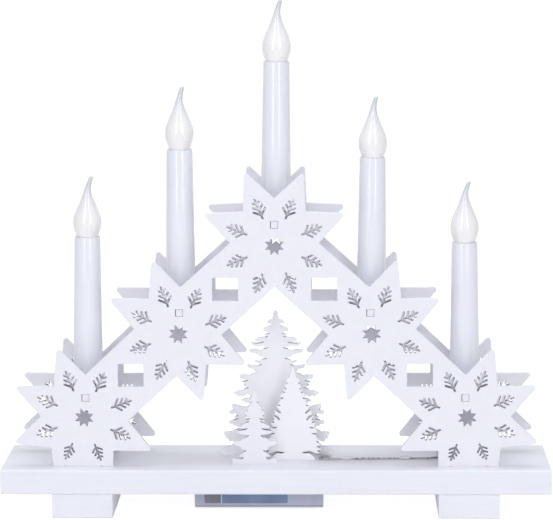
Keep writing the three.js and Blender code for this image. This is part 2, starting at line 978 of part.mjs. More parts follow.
function basePlank() {
  const plank = easedBlock(plankLength, plankDepth, plankThickness).translate(0, 0, plankBottom);
  const tools = [];
  for (const side of [-1, 1]) {
    for (const y of [frontPanelY, backPanelY]) {
      const half = tabWidth / 2 + looseFit;
      const middle = side * panelFootX;
      const y0 = y - looseFit;
      const y1 = y + panelThickness + looseFit;
      const low = plankTop - tabDepth - looseFit;
      tools.push(block(middle - half, middle + half, y0, y1, low, plankTop + 1));
    }
  }
  for (const { x, y, tab } of trees) {
    const half = tab / 2 + looseFit;
    const deep = treeThickness / 2 + looseFit;
    const low = plankTop - treeTabDepth - looseFit;
    tools.push(block(x - half, x + half, y - deep, y + deep, low, plankTop + 1));
  }
  const pocket = block(
    caseLeft - looseFit,
    caseRight + looseFit,
    caseFrontY - looseFit,
    caseBack + looseFit,
    plankBottom - 1,
    caseTop,
  );
  const leadHole = bar(leadBore / 2, leadHoleX, 0, plankBottom - 1, plankTop + 1, 10);
  const stringWay = roundHole(stringHole, plankBottom, plankTop + 1);
  const pilots = screwPlaces.map(({ x, y }) =>
    bar(screwRadius + looseFit, x, y, caseTop - 1, caseTop - caseRoof + screwLength + looseFit, 12),
  );
  return cut(plank, pocket, leadHole, stringWay, ...pilots, ...tools);
}

add("base_plank", basePlank(), whitePaint);

const foot = easedBlock(footWidth, plankDepth, footHeight);
const rightFoot = cut(
  foot.clone().translate(footCentre, 0, 0),
  block(
    footCentre - footWidth / 2 - 1,
    leadHoleX + leadBore / 2,
    -channelHalf,
    channelHalf,
    footHeight - channelDepth,
    footHeight + 1,
  ),
);
add("left_foot", foot.clone().translate(-footCentre, 0, 0), whitePaint);
add("right_foot", rightFoot, whitePaint);

// Candle leads. The feed comes from the case, goes under the plank and up behind the right
// panel foot. From each light a lead runs down its tube and up the next one. On the way it
// lies against the front panel, below the windows and clear of every cut-out.

const leadY = archMiddleY - panelGap / 2 + leadRadius + leadStandoff;
const leadShift = leadRadius + 0.5;
const edgeInset = 4.2;

// From a light down its tube, out under the rail and beside the little star
function leadDown({ x, tenonZ, seat, holderTop }, side) {
  const away = x + side * leadShift;
  const low = tenonZ - railBelow;
  return [
    [away, archMiddleY, holderTop - holderLength - 1],
    [away, archMiddleY, seat + 20],
    [away, archMiddleY, low - 0.8],
    [away + side * 0.4, archMiddleY - 5, low - 2.6],
    [x + side * 8, leadY, low - 2.8],
  ];
}

// Round the little star from its foot to its side
function leadRound(star, side) {
  return [
    [star.x + side * 2, leadY, star.littleZ - 14],
    [star.x + side * 8.6, leadY, star.littleZ - 9],
    [star.x + side * 12, leadY, star.littleZ - 1],
  ];
}

// Every lead climbs from the lower candle of its pair to the upper one
const leadPairs = [
  [0, 1],
  [1, 2],
  [3, 2],
  [4, 3],
];

leadPairs.forEach(([lower, upper], index) => {
  const side = Math.sign(upper - lower);
  const from = stars[lower];
  const to = stars[upper];
  const edgeFrom = starPoint(from, side > 0 ? 0 : 180, starNotchRadius);
  const edgeTo = starPoint(to, 270, starNotchRadius);
  const along = edgeTo.clone().sub(edgeFrom).normalize();
  const inward = new THREE.Vector2(-side * along.y, side * along.x).multiplyScalar(edgeInset);
  const bend = edgeFrom.clone().add(inward);
  const turn = edgeTo.clone().add(inward).addScaledVector(along, -3);
  const lead = [
    ...leadDown(candles[lower], side),
    [from.x + side * 18, leadY, from.littleZ + 1],
    [bend.x, leadY, bend.y],
    [turn.x, leadY, turn.y],
    [to.x - side * 1.5, leadY, to.littleZ - 22],
    ...leadRound(to, -side),
    ...leadDown(candles[upper], -side).reverse(),
  ];
  add(`candle_lead_${index + 1}`, wire(lead, leadRadius, 6, 1, 0.2), wireSleeve);
});

const feedStart = caseRight - caseWall - 2 + looseFit;
const feed = [
  [feedStart, feedY, feedZ],
  [caseRight + 6, feedY, feedZ],
  [leadHoleX - 8, feedY, feedZ],
  [leadHoleX - 1.6, 0, feedZ + 0.5],
  [leadHoleX, 0, plankBottom + 3],
  [leadHoleX, 0, plankTop - 2],
  [leadHoleX, -5, plankTop + 4],
  [leadHoleX, leadY, plankTop + 14],
  ...leadRound(stars[4], 1),
  ...leadDown(candles[4], 1).reverse(),
];
add("feed_lead", wire(feed, leadRadius, 6, 1, 0.2), wireSleeve);

// Light string: up through the plank behind the right tree, a flat loop on the plank, then
// loose along it to the right foot. Sealed lights sit on it as drops.

const stringZ = plankTop + stringRadius + looseFit;
const stringRoute = [
  [24, 2, plankTop - 4],
  [24, 2, plankTop - 1],
  [24.3, 2.3, plankTop + 1.6],
  [26.2, 3.4, plankTop + 3],
  [29.2, 4.8, plankTop + 2.7],
  [32.6, 5.6, plankTop + 1.6],
  [35.8, 5.4, stringZ],
  [38.6, 4.2, stringZ],
  [39.6, 1.8, stringZ],
  [37.8, -0.6, stringZ],
  [34.4, -1.8, stringZ],
  [31.8, -4, stringZ],
  [33, -6.8, stringZ],
  [37.6, -8, stringZ],
  [44, -7.9, stringZ],
  [51, -7.8, stringZ],
  [61, -7.7, stringZ],
  [71, -7.4, stringZ],
  [81, -7, stringZ],
  [92, -6.6, stringZ],
  [97.6, -6.8, stringZ],
  [104, -6.6, stringZ],
  [112, -5.8, stringZ],
  [122, -1.6, stringZ],
  [131, 4, stringZ],
];
const dropPlaces = [15, 19, 21, 22, 24];

// A sealed light: a pointed drop lying along the wire from its place towards the last point
function lightDrop(index) {
  const from = new THREE.Vector3(...stringRoute[index - 1]);
  const place = new THREE.Vector3(...stringRoute[index]);
  const half = dropLength / 2;
  const drop = turned(
    [
      [0, -half],
      [dropRadius * 0.6, -half * 0.7],
      [dropRadius, -half * 0.1],
      [dropRadius * 0.8, half * 0.5],
      [0, half],
    ],
    6,
  );
  const heading = new THREE.Quaternion().setFromUnitVectors(
    new THREE.Vector3(0, 0, 1),
    place.clone().sub(from).normalize(),
  );
  const middle = place.clone().setZ(plankTop + dropRadius + looseFit);
  return drop.applyQuaternion(heading).translate(middle.x, middle.y, middle.z);
}

const stringWire = wire(stringRoute, stringRadius, 6, 2);
add("light_string", joined(stringWire, ...dropPlaces.map(lightDrop)), stringSleeve);

export default candleArch;
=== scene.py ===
# Candle arch of white wood with five electric candles: its looks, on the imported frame.
import math

import bmesh
import bpy
from mathutils import Matrix, Vector
from mathutils.bvhtree import BVHTree


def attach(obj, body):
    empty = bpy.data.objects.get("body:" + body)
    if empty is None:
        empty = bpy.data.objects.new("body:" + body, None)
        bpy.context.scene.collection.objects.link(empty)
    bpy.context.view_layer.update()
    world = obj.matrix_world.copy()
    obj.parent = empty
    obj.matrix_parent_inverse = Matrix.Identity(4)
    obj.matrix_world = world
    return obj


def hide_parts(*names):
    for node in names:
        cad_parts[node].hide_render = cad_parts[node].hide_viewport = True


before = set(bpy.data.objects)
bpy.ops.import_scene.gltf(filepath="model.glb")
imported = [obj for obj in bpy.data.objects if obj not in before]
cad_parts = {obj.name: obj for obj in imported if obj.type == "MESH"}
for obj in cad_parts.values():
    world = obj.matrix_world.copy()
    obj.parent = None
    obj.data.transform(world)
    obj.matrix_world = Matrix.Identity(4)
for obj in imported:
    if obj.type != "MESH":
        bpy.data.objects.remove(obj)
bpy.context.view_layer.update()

# Base plank
# A planed softwood board, 400 by 80 by 18 mm, sprayed with white satin paint. Its long edges
# are eased, and slots in its top hold the panels and the trees.
# Here and below, lengths in mm times MM are metres, and angles are in degrees.
MM = 0.001
WELD_GAP = 0.01 * MM
EDGE_ANGLE = 32
PLANK_EASE = 0.3


def shader_of(material):
    return material.node_tree.nodes["Principled BSDF"]


def finish_of(name, colour, roughness, sockets=None):
    """A finish with its plain colour and roughness, and with other sockets of its shader set."""
    made = bpy.data.materials.new(name)
    made.use_nodes = True
    shader = shader_of(made)
    shader.inputs["Base Color"].default_value = (*colour, 1)
    shader.inputs["Roughness"].default_value = roughness
    for socket, value in (sockets or {}).items():
        shader.inputs[socket].default_value = value
    return made


def grain(material, stretch, detail=4.0, start=(0, 0, 0)):
    """Noise over the piece's own coordinates, with so many waves per metre each way."""
    tree = material.node_tree
    place = tree.nodes.new("ShaderNodeTexCoord")
    scale = tree.nodes.new("ShaderNodeMapping")
    noise = tree.nodes.new("ShaderNodeTexNoise")
    scale.inputs["Location"].default_value = start
    scale.inputs["Scale"].default_value = stretch
    noise.inputs["Scale"].default_value = 1
    noise.inputs["Detail"].default_value = detail
    tree.links.new(place.outputs["Object"], scale.inputs["Vector"])
    tree.links.new(scale.outputs["Vector"], noise.inputs["Vector"])
    return noise.outputs["Fac"]


def tinted(material, source, low, high, span=(0.3, 0.7)):
    """A colour that runs from low to high over a span of the source's values."""
    tree = material.node_tree
    ramp = tree.nodes.new("ShaderNodeValToRGB")
    ramp.color_ramp.elements[0].position = span[0]
    ramp.color_ramp.elements[0].color = (*low, 1)
    ramp.color_ramp.elements[1].position = span[1]
    ramp.color_ramp.elements[1].color = (*high, 1)
    tree.links.new(source, ramp.inputs["Fac"])
    tree.links.new(ramp.outputs["Color"], shader_of(material).inputs["Base Color"])
    return ramp


def spread(material, source, low, high, span=(0.3, 0.7)):
    """Values that run from low to high over a span of the source's values."""
    tree = material.node_tree
    run = tree.nodes.new("ShaderNodeMapRange")
    run.inputs["From Min"].default_value, run.inputs["From Max"].default_value = span
    run.inputs["To Min"].default_value = low
    run.inputs["To Max"].default_value = high
    tree.links.new(source, run.inputs["Value"])
    return run.outputs["Result"]


def rough(material, source, low, high):
    """A roughness that runs from low to high with the source."""
    result = spread(material, source, low, high)
    material.node_tree.links.new(result, shader_of(material).inputs["Roughness"])


def bumpy(material, source, height):
    """Fine relief of the source, so many metres high."""
    tree = material.node_tree
    bump = tree.nodes.new("ShaderNodeBump")
    bump.inputs["Strength"].default_value = 1
    bump.inputs["Distance"].default_value = height
    tree.links.new(source, bump.inputs["Height"])
    tree.links.new(bump.outputs["Normal"], shader_of(material).inputs["Normal"])


def dressed(node, finish, ease=0.0, segments=2):
    """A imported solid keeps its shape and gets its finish, and softer edges where wanted."""
    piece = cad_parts[node]
    piece.material_slots[0].material = finish
    if ease:
        weld = piece.modifiers.new("joined", "WELD")
        weld.merge_threshold = WELD_GAP
        edge = piece.modifiers.new("eased", "BEVEL")
        edge.width = ease * MM
        edge.segments = segments
        edge.limit_method = "ANGLE"
        edge.angle_limit = math.radians(EDGE_ANGLE)
    return piece


plank_paint = finish_of("plank_paint", (0.86, 0.86, 0.91), 0.42)
plank_grain = grain(plank_paint, (18, 420, 420), 5)
tinted(plank_paint, plank_grain, (0.848, 0.848, 0.89), (0.874, 0.874, 0.914))
rough(plank_paint, grain(plank_paint, (60, 300, 300), 3, (3, 1, 2)), 0.36, 0.5)
bumpy(plank_paint, plank_grain, 0.00007)
dressed("base_plank", plank_paint, PLANK_EASE)

# Feet
# Two blocks of the same wood glued across the plank's underside. The right one has a channel
# on top for the candle lead.
for node in ("left_foot", "right_foot"):
    dressed(node, plank_paint, PLANK_EASE)

# Star panels
# Two boards of 4 mm plywood, sawn by laser into five linked eight-pointed stars and painted
# white. Each star has a little star in the middle and eight fir twigs round it, and a small
# square window lies between neighbours. The panels' feet are tabs glued into the plank.
PLANK_TOP = 36.0
STAR_PITCH_X = 69.9
STAR_PITCH_Z = 64.6
LOWEST_STAR_RISE = 35.7
STAR_TIP = 56.0
STAR_NOTCH = 32.0
STAR_STEP = 22.5
STAR_LEAN = 3.1
TIP_ROUND = 1.8
NOTCH_ROUND = 0.5
LITTLE_DROP = (2.0, 1.9, -0.9)
LITTLE_STAR = (4.05, 7.2)
LITTLE_ROUND = 0.12
END_CUTS_SHIFT = 0.6
END_CUTS_LEAN = 2.15
TWIG_START = 20.9
TWIG_LENGTH = 16.2
TWIG_HALF_WIDTH = 0.69
BRANCH_LEAN = 49
BRANCHES = ((3.1, 5.9), (7.1, 4.5), (11.1, 3.1))
BRANCH_ROOT_ROUND = 0.2
LOW_TWIG_SIZE = 0.83
TENON_RISES = (15.2, 15.4, 14.6)
END_TENON_SHIFT = 1.1
TENON_HOLE = (5.6, 5.4)
TENON_HOLE_ROUND = 0.2
TENON_HOLE_SHIFT = 0.14
WINDOW = (18.6, 17)
WINDOW_RISE = 0.4
TOP_WINDOW_SHIFT = 0.8
PANEL_FOOT_X = 140.4
PANEL_FOOT = 43.8
PANEL_FOOT_ROUND = 0.3
PANEL_TAB = 26
PANEL_TAB_DEPTH = 9
RELIEF = (0.8, 0.7)
PANEL_THICKNESS = 4.0
FRONT_PANEL_Y = -28.5
BACK_PANEL_Y = 18.5
ARCH_Y = -3.0
CUT_EASE = 0.25
STRAIGHT_CORNER = 3.1
ARC_SHARE = 0.48
DOUBLE_GAP = 0.002 * MM
FACE_ON = 0.999
LEAST_STEEP = 0.3
# Cuts narrower than this get a dark colour on their walls: painted shade, with the laser's
# scorch.
SHADED_CUT_WIDTH = 2.8 * MM
CUT_SHADE_GAIN = 2.2


def put(name, data):
    made = bpy.data.objects.new(name, data)
    bpy.context.scene.collection.objects.link(made)
    return made


def new_piece(data, finish, node=None):
    """A piece that rides on the arch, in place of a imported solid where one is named."""
    made = put(data.name, data)
    data.materials.append(finish)
    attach(made, "arch")
    if node:
        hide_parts(node)
    return made


def softened(corners, steps=4):
    """A closed outline from corners (x, z, radius), each turned on an arc of that radius.

    A corner that is nearly straight stays, and no arc takes up half of a side.
    """
    line = []
    for index, (x, z, radius) in enumerate(corners):
        here = Vector((x, z))
        back = Vector(corners[index - 1][:2]) - here
        ahead = Vector(corners[(index + 1) % len(corners)][:2]) - here
        turn = back.angle(ahead)
        if radius == 0 or turn > STRAIGHT_CORNER:
            line.append((x, z))
            continue
        most = ARC_SHARE * min(back.length, ahead.length)
        reach = min(radius / math.tan(turn / 2), most)
        radius = reach * math.tan(turn / 2)
        back.normalize()
        ahead.normalize()
        middle = here + (back + ahead).normalized() * (radius / math.sin(turn / 2))
        first = here + back * reach - middle
        last = here + ahead * reach - middle
        sweep = math.atan2(first.x * last.y - first.y * last.x, first.dot(last))
        for step in range(steps + 1):
            point = middle + Matrix.Rotation(sweep * step / steps, 2) @ first
            line.append((point.x, point.y))
    return line


def sawn(name, outlines, y, thickness, ease=CUT_EASE):
    """A board with its front face at y, sawn along closed outlines drawn in X and Z."""
    curve = bpy.data.curves.new(name, "CURVE")
    curve.dimensions = "2D"
    curve.fill_mode = "BOTH"
    curve.extrude = (thickness / 2 - ease) * MM
    curve.bevel_depth = ease * MM
    curve.bevel_resolution = 1
    curve.offset = -ease * MM
    for outline in outlines:
        spline = curve.splines.new("POLY")
        spline.points.add(len(outline) - 1)
        for point, (x, z) in zip(spline.points, outline):
            point.co = (x * MM, z * MM, 0, 1)
        spline.use_cyclic_u = True
    holder = put(name + "_line", curve)
    bpy.context.view_layer.update()
    mesh = bpy.data.meshes.new_from_object(
        holder.evaluated_get(bpy.context.evaluated_depsgraph_get())
    )
    bpy.data.objects.remove(holder)
    mesh.name = name
    upright = Matrix.Rotation(math.pi / 2, 4, "X")
    mesh.transform(Matrix.Translation((0, (y + thickness / 2) * MM, 0)) @ upright)
    tidied(mesh)
    for face in mesh.polygons:
        face.use_smooth = abs(face.normal.y) < FACE_ON
    mark_shaded_cuts(mesh)
    return mesh


def mark_shaded_cuts(mesh):
    """Writes how dark each cut's walls are painted: 0 on open edges, 1 in the narrowest. It is
    painted shade in narrow cuts, together with the laser's scorch where paint did not reach.
    """
    walls = BVHTree.FromPolygons(
        [vertex.co for vertex in mesh.vertices], [face.vertices for face in mesh.polygons]
    )
    cut_shade_and_scorch = mesh.attributes.new("cut_shade_and_scorch", "FLOAT", "FACE")
    for face in mesh.polygons:
        across = Vector((face.normal.x, 0, face.normal.z))
        steepness = across.length
        if steepness < LEAST_STEEP:
            continue
        across.normalize()
        gap = walls.ray_cast(face.center + across * WELD_GAP, across, SHADED_CUT_WIDTH)[3]
        if gap is not None:
            cut_shade_and_scorch.data[face.index].value = min(1.0, CUT_SHADE_GAIN * (1 - gap / SHADED_CUT_WIDTH)) * steepness


def tidied(mesh, corner=35):
    """Doubles merged, faces turned outwards, and smooth but at edges past the corner's angle."""
    form = bmesh.new()
    form.from_mesh(mesh)
    bmesh.ops.remove_doubles(form, verts=form.verts, dist=DOUBLE_GAP)
    bmesh.ops.recalc_face_normals(form, faces=form.faces)
    form.to_mesh(mesh)
    form.free()
    mesh.polygons.foreach_set("use_smooth", [True] * len(mesh.polygons))
    mesh.set_sharp_from_angle(angle=math.radians(corner))


class Star:
    """A star of the arch, at -2 to 2 places from the top one. Its rank is 0, 1 or 2."""

    def __init__(self, place):
        self.side = (place > 0) - (place < 0)
        self.rank = abs(place)
        self.x = place * STAR_PITCH_X
        self.z = PLANK_TOP + LOWEST_STAR_RISE + (2 - self.rank) * STAR_PITCH_Z
        self.turn = STAR_LEAN * self.side
        self.little_z = self.z - LITTLE_DROP[self.rank]
        at_end = self.rank == 2
        self.cuts_x = self.x - (END_CUTS_SHIFT * self.side if at_end else 0)
        self.cuts_turn = END_CUTS_LEAN * self.side if at_end else self.turn

    def point(self, direction, radius, middle_z):
        angle = math.radians(direction + self.turn)
        return self.x + radius * math.cos(angle), middle_z + radius * math.sin(angle)

    def cut_point(self, direction, along, across=0):
        """A point of a cut-out, along a ray from the little star's middle and across it."""
        ray = math.radians(direction + self.cuts_turn)
        return (
            self.cuts_x + along * math.cos(ray) - across * math.sin(ray),
            self.little_z + along * math.sin(ray) + across * math.cos(ray),
        )


stars = [Star(place) for place in (-2, -1, 0, 1, 2)]
# Where the sawn line strays from a true star: the star's rank and the corner's direction, then
# more radius in mm and more turn in degrees.
STRAYS = {
    (1, 270): (1.2, 0),
    (1, 292.5): (0, -1),
    (1, 315): (-0.4, -2.5),
    (1, 337.5): (-0.4, -1.1),
    (1, 360): (-0.6, -1.7),
    (2, 180): (-0.9, 0),
    (2, 202.5): (-0.8, 0.3),
    (2, 360): (0.7, 0),
}


def star_stretch(star, start, end):
    """The corners of a star's outline from one direction to another, tips and notches."""
    corners = []
    for step in range(round((end - start) / STAR_STEP) + 1):
        direction = start + STAR_STEP * step
        tip = direction % (2 * STAR_STEP) != 0
        more, turn = STRAYS.get((star.rank, direction), (0, 0))
        radius = (STAR_TIP if tip else STAR_NOTCH) + more
        place = star.point(direction + turn, radius, star.z)
        corners.append((*place, TIP_ROUND if tip else NOTCH_ROUND))
    return corners


def panel_outline():
    """One half of the arch from its top down and back along its inner side, and its mirror."""
    outer, inner, middle = stars[:3]
    tab = PANEL_TAB / 2
    notch, rise = RELIEF
    foot_edge = [
        (PANEL_FOOT / 2, PLANK_TOP, PANEL_FOOT_ROUND),
        (tab + notch, PLANK_TOP, 0),
        (tab + notch / 2, PLANK_TOP + rise, 0),
        (tab, PLANK_TOP, 0),
        (tab, PLANK_TOP - PANEL_TAB_DEPTH, 0),
    ]
    half = [
        *star_stretch(middle, 90, 180),
        *star_stretch(inner, 90, 180),
        *star_stretch(outer, 90, 225),
        *((-PANEL_FOOT_X - x, z, radius) for x, z, radius in foot_edge),
        *((-PANEL_FOOT_X + x, z, radius) for x, z, radius in reversed(foot_edge)),
        *star_stretch(outer, 315, 360),
        *star_stretch(inner, 270, 360),
        *star_stretch(middle, 270, 270),
    ]
    mirrored = [(-x, z, radius) for x, z, radius in reversed(half[1:-1])]
    return softened(half + mirrored)


def rectangle(x, z, width, height, corner=0.5):
    u, v = width / 2, height / 2
    sides = ((-u, -v), (-u, v), (u, v), (u, -v))
    return softened([(x + across, z + up, corner) for across, up in sides])


def little_star_hole(star):
    corners = [
        (*star.cut_point(STAR_STEP * step, LITTLE_STAR[step % 2]), LITTLE_ROUND)
        for step in range(16)
    ]
    return softened(corners, steps=3)


def twig_hole(star, direction):
    """A stem along the star's ray, with three pairs of branches with round ends.

    The two that point down from an end star are smaller.
    """
    size = LOW_TWIG_SIZE if star.rank == 2 and 225 < direction < 315 else 1
    half = TWIG_HALF_WIDTH * size
    lean = math.radians(BRANCH_LEAN)
    cos, sin = math.cos(lean), math.sin(lean)
    right = [(0, -half, half), (0, half, half)]
    for root, length in BRANCHES:
        root, reach = root * size, length * size + half
        right.append((root - half * math.tan(lean / 2), half, BRANCH_ROOT_ROUND))
        right.append((root + reach * cos - half * sin, reach * sin + half * cos, half))
        right.append((root + reach * cos + half * sin, reach * sin - half * cos, half))
        right.append((root + half / math.tan(lean / 2), half, BRANCH_ROOT_ROUND))
    right.append((TWIG_LENGTH * size, half, half))
    left = [(along, -across, radius) for along, across, radius in reversed(right[2:])]
    corners = [
        (*star.cut_point(direction, TWIG_START + along, across), radius)
        for along, across, radius in [*right, *left]
    ]
    return softened(corners, steps=5)


def tenon_place(star):
    x, z = star.point(90, TENON_RISES[star.rank], star.little_z)
    return (x - END_TENON_SHIFT * star.side if star.rank == 2 else x), z


def window_hole(star, after):
    x = (star.x + after.x) / 2
    if 0 in (star.rank, after.rank):
        x += math.copysign(TOP_WINDOW_SHIFT, x)
    return rectangle(x, (star.little_z + after.little_z) / 2 + WINDOW_RISE, *WINDOW)


def panel_outlines():
    lines = [panel_outline()]
    for index, star in enumerate(stars):
        tenon_x, tenon_z = tenon_place(star)
        hole_x = tenon_x - TENON_HOLE_SHIFT
        lines.append(rectangle(hole_x, tenon_z, *TENON_HOLE, TENON_HOLE_ROUND))
        lines.append(little_star_hole(star))
        lines.extend(twig_hole(star, STAR_STEP * (2 * ray + 1)) for ray in range(8))
        if index < 4:
            lines.append(window_hole(star, stars[index + 1]))
    return lines


def kept_values(material, name):
    """The values that a mesh keeps under this name."""
    reader = material.node_tree.nodes.new("ShaderNodeAttribute")
    reader.attribute_name = name
    return reader.outputs["Fac"]


def mixed_in(material, tint, share, colour):
    """The tint, with a share of another colour over it."""
    tree = material.node_tree
    mix = tree.nodes.new("ShaderNodeMixRGB")
    mix.inputs["Color2"].default_value = (*colour, 1)
    tree.links.new(share, mix.inputs["Fac"])
    tree.links.new(tint.outputs["Color"], mix.inputs["Color1"])
    tree.links.new(mix.outputs["Color"], shader_of(material).inputs["Base Color"])


def board_paint(name, white, mottle, shade_and_scorch_colour):
    """White paint on a sawn board. In narrow cuts a dark colour is mixed in: painted shade, with
    the laser's scorch where the paint did not reach.
    """
    paint = finish_of(name, white, 0.5)
    low, high = ([tone + more for tone in white] for more in (-mottle, mottle))
    tint = tinted(paint, grain(paint, (90, 90, 90), 5), low, high)
    mixed_in(paint, tint, kept_values(paint, "cut_shade_and_scorch"), shade_and_scorch_colour)
    return paint


def sprayed(paint):
    """The fine relief and uneven gloss of paint sprayed on plywood."""
    rough(paint, grain(paint, (400, 400, 400), 2, (1, 5, 2)), 0.44, 0.58)
    bumpy(paint, grain(paint, (700, 700, 260), 4, (2, 2, 7)), 0.00004)


PANEL_WHITE = (0.87, 0.866, 0.9)
# The dark colour in the narrow cuts is painted shade, with the laser's scorch.
panel_paint = board_paint("panel_paint", PANEL_WHITE, 0.008, (0.4, 0.4, 0.43))
sprayed(panel_paint)
panel_lines = panel_outlines()
for node, y in (("front_panel", FRONT_PANEL_Y), ("back_panel", BACK_PANEL_Y)):
    board = sawn(node + "_board", panel_lines, y, PANEL_THICKNESS)
    new_piece(board, panel_paint, node)

# Cross rails
# Five blocks of softwood between the panels. Each has a square tenon at both ends, which shows
# as a small square in the panel's face, and a bore that holds a candle.
rail_paint = finish_of("rail_paint", (0.86, 0.855, 0.9), 0.5)
rail_grain = grain(rail_paint, (500, 30, 500), 4)
tinted(rail_paint, rail_grain, (0.82, 0.815, 0.86), (0.87, 0.865, 0.91))
rough(rail_paint, rail_grain, 0.45, 0.6)
bumpy(rail_paint, rail_grain, 0.0001)
for number in range(1, 6):
    dressed(f"candle_rail_{number}", rail_paint, CUT_EASE)

# Fir trees
# Three trees sawn from 3 mm plywood and painted white, with a tab each that is
# glued into a slot of the plank: a tall one at the back and two small ones before it. The left
# one has the panels' white. The back and right ones have a whiter paint, which is painted light
# that makes up for the shade they stand in.
TREE_THICKNESS = 3
TREE_EASE = 0.1
TREE_TAB_DEPTH = 8
TWIG_TIP_ROUND = 0.12
TWIG_HOLLOW_ROUND = 0.3
# Whiter than the panels' white: painted light that makes up for the shade on the back and right
# trees.
TREE_BRIGHTENED_WHITE = (0.94, 0.935, 0.957)
# The dark colour for the trees' narrow cuts: painted shade, with the laser's scorch.
TREE_CUT_SHADE = (0.16, 0.155, 0.16)
# Each table goes down one side of a tree: reach from its middle line and height, tip to foot.
BACK_TREE = [
    (0, 109.2), (1.3, 107.3), (1.9, 106.4), (1.3, 105.1), (2.2, 103.7), (2.5, 102.2),
    (4.6, 101.6), (6.1, 100.3), (6.4, 99.4), (4.5, 99.4), (3, 99.1), (3.1, 98), (5.2, 96.7),
    (6.8, 96.1), (8.5, 95.5), (9, 94.4), (9.2, 93.2), (7.9, 93.4), (6.2, 92.9), (4.3, 91.7),
    (6, 91.3), (7.9, 90.8), (7.4, 89.9), (5, 89.2), (7.9, 88.9), (10.5, 88.7), (13.1, 88.4),
    (14.8, 87.4), (15.1, 86.6), (14.4, 85.7), (11.6, 85.2), (8, 85.7), (10.1, 84.6),
    (13.1, 84.3), (15.7, 84.3), (17.1, 85), (18, 84.2), (17.1, 83), (14.9, 82.2), (11.6, 82.2),
    (9.4, 81.8), (7.6, 81.6), (5.4, 81.2), (7, 80.3), (8.7, 80.4), (9.9, 78.9), (12, 78.8),
    (14, 79.6), (16.4, 79.8), (18.6, 79.4), (19.7, 78.8), (18.9, 77.3), (15.9, 76.9),
    (13.8, 76.1), (12.4, 75.5), (11.3, 74.1), (9.4, 73.7), (6, 72.7), (8.8, 72.4), (10.3, 72),
    (11.5, 70.9), (13, 70.6), (14.3, 71.4), (15.4, 70.8), (15.2, 70.1), (12.8, 69.6),
    (12.1, 68.7), (9.6, 68.1), (12.8, 67.6), (14.2, 67.1), (17.2, 67.2), (19.1, 68),
    (20.8, 68.5), (21.1, 67.5), (20.4, 66), (18.3, 65.4), (17.1, 64.8), (14.6, 64.5),
    (15.8, 63.5), (14, 62.6), (15.2, 61.7), (16.3, 61.4), (18.1, 61), (19.7, 59.9),
    (20.9, 60.1), (22.1, 60.8), (23.8, 60.2), (26.3, 60.4), (27.1, 59.5), (26.4, 57.7),
    (24.3, 57.2), (22.1, 56.9), (20.3, 56.2), (22.4, 55.8), (24.6, 55.5), (25.1, 55.1),
    (23.9, 54.5), (22.1, 53.8), (22.8, 53.3), (24, 52.8), (23.6, 51.9), (22.1, 51.4),
    (19.7, 50.8), (22, 50.3), (23.4, 49.7), (24.3, 48.7), (26.1, 48.7), (27.3, 48.6),
    (28.3, 47.7), (30.6, 47.2), (31.2, 46.3), (29.8, 46), (28.5, 45.4), (29.1, 44.6),
    (27.6, 44.4), (26, 44.9), (25.4, 44.2), (24.2, 44), (22.9, 44.8), (21.5, 45.7), (20, 45.2),
    (18.1, 44.6), (18.9, 43.7), (19.6, 42.8), (21.4, 42.7), (23.2, 42.4), (24.4, 41.5),
    (25.9, 41.1), (25.6, 40.5), (23.8, 40.4), (22.9, 39.5), (21, 39.2), (18, 38.1),
    (20.2, 37.1), (21.7, 36), (24.4, 36.3), (27, 36.9), (30, 37.8), (32.4, 38.4), (32.6, 36.4),
    (32.6, 35.2), (30.8, 34.8), (32.1, 33.6), (33.3, 33), (34.7, 32.7), (34.5, 31.1),
    (32.6, 30.8), (31.4, 30.8), (30.7, 31.7), (28.7, 31.5), (29.9, 30.4), (27.8, 29.9),
    (29.6, 29), (31, 28.5), (30.8, 27.8), (27.3, 27.3), (29.6, 26.7), (31.4, 26.4),
    (32.5, 25.7), (34.7, 25.4), (34.6, 23.5), (32, 23.1), (30.9, 21.4), (30, 22.4),
    (28.6, 20.7), (27.4, 21.4), (26.2, 22), (22.5, 21.7), (24.5, 19.9), (27.5, 19.4),
    (29.4, 19.1), (31.6, 18.3), (32.5, 17.3), (34.3, 17.6), (35.9, 17), (37.9, 17.1),
    (38.8, 16.1), (37.9, 14.2), (36.1, 13.6), (37.8, 12.1), (36.1, 12.4), (35.4, 11.2),
    (34.5, 9.4), (33.2, 10.3), (32, 10.6), (29.4, 9.7), (31.5, 8), (33.9, 6.3), (36.2, 5.8),
    (38.7, 4.6), (40.5, 3.6), (41, 1.9), (40.6, 0.6), (39.6, 0),
]
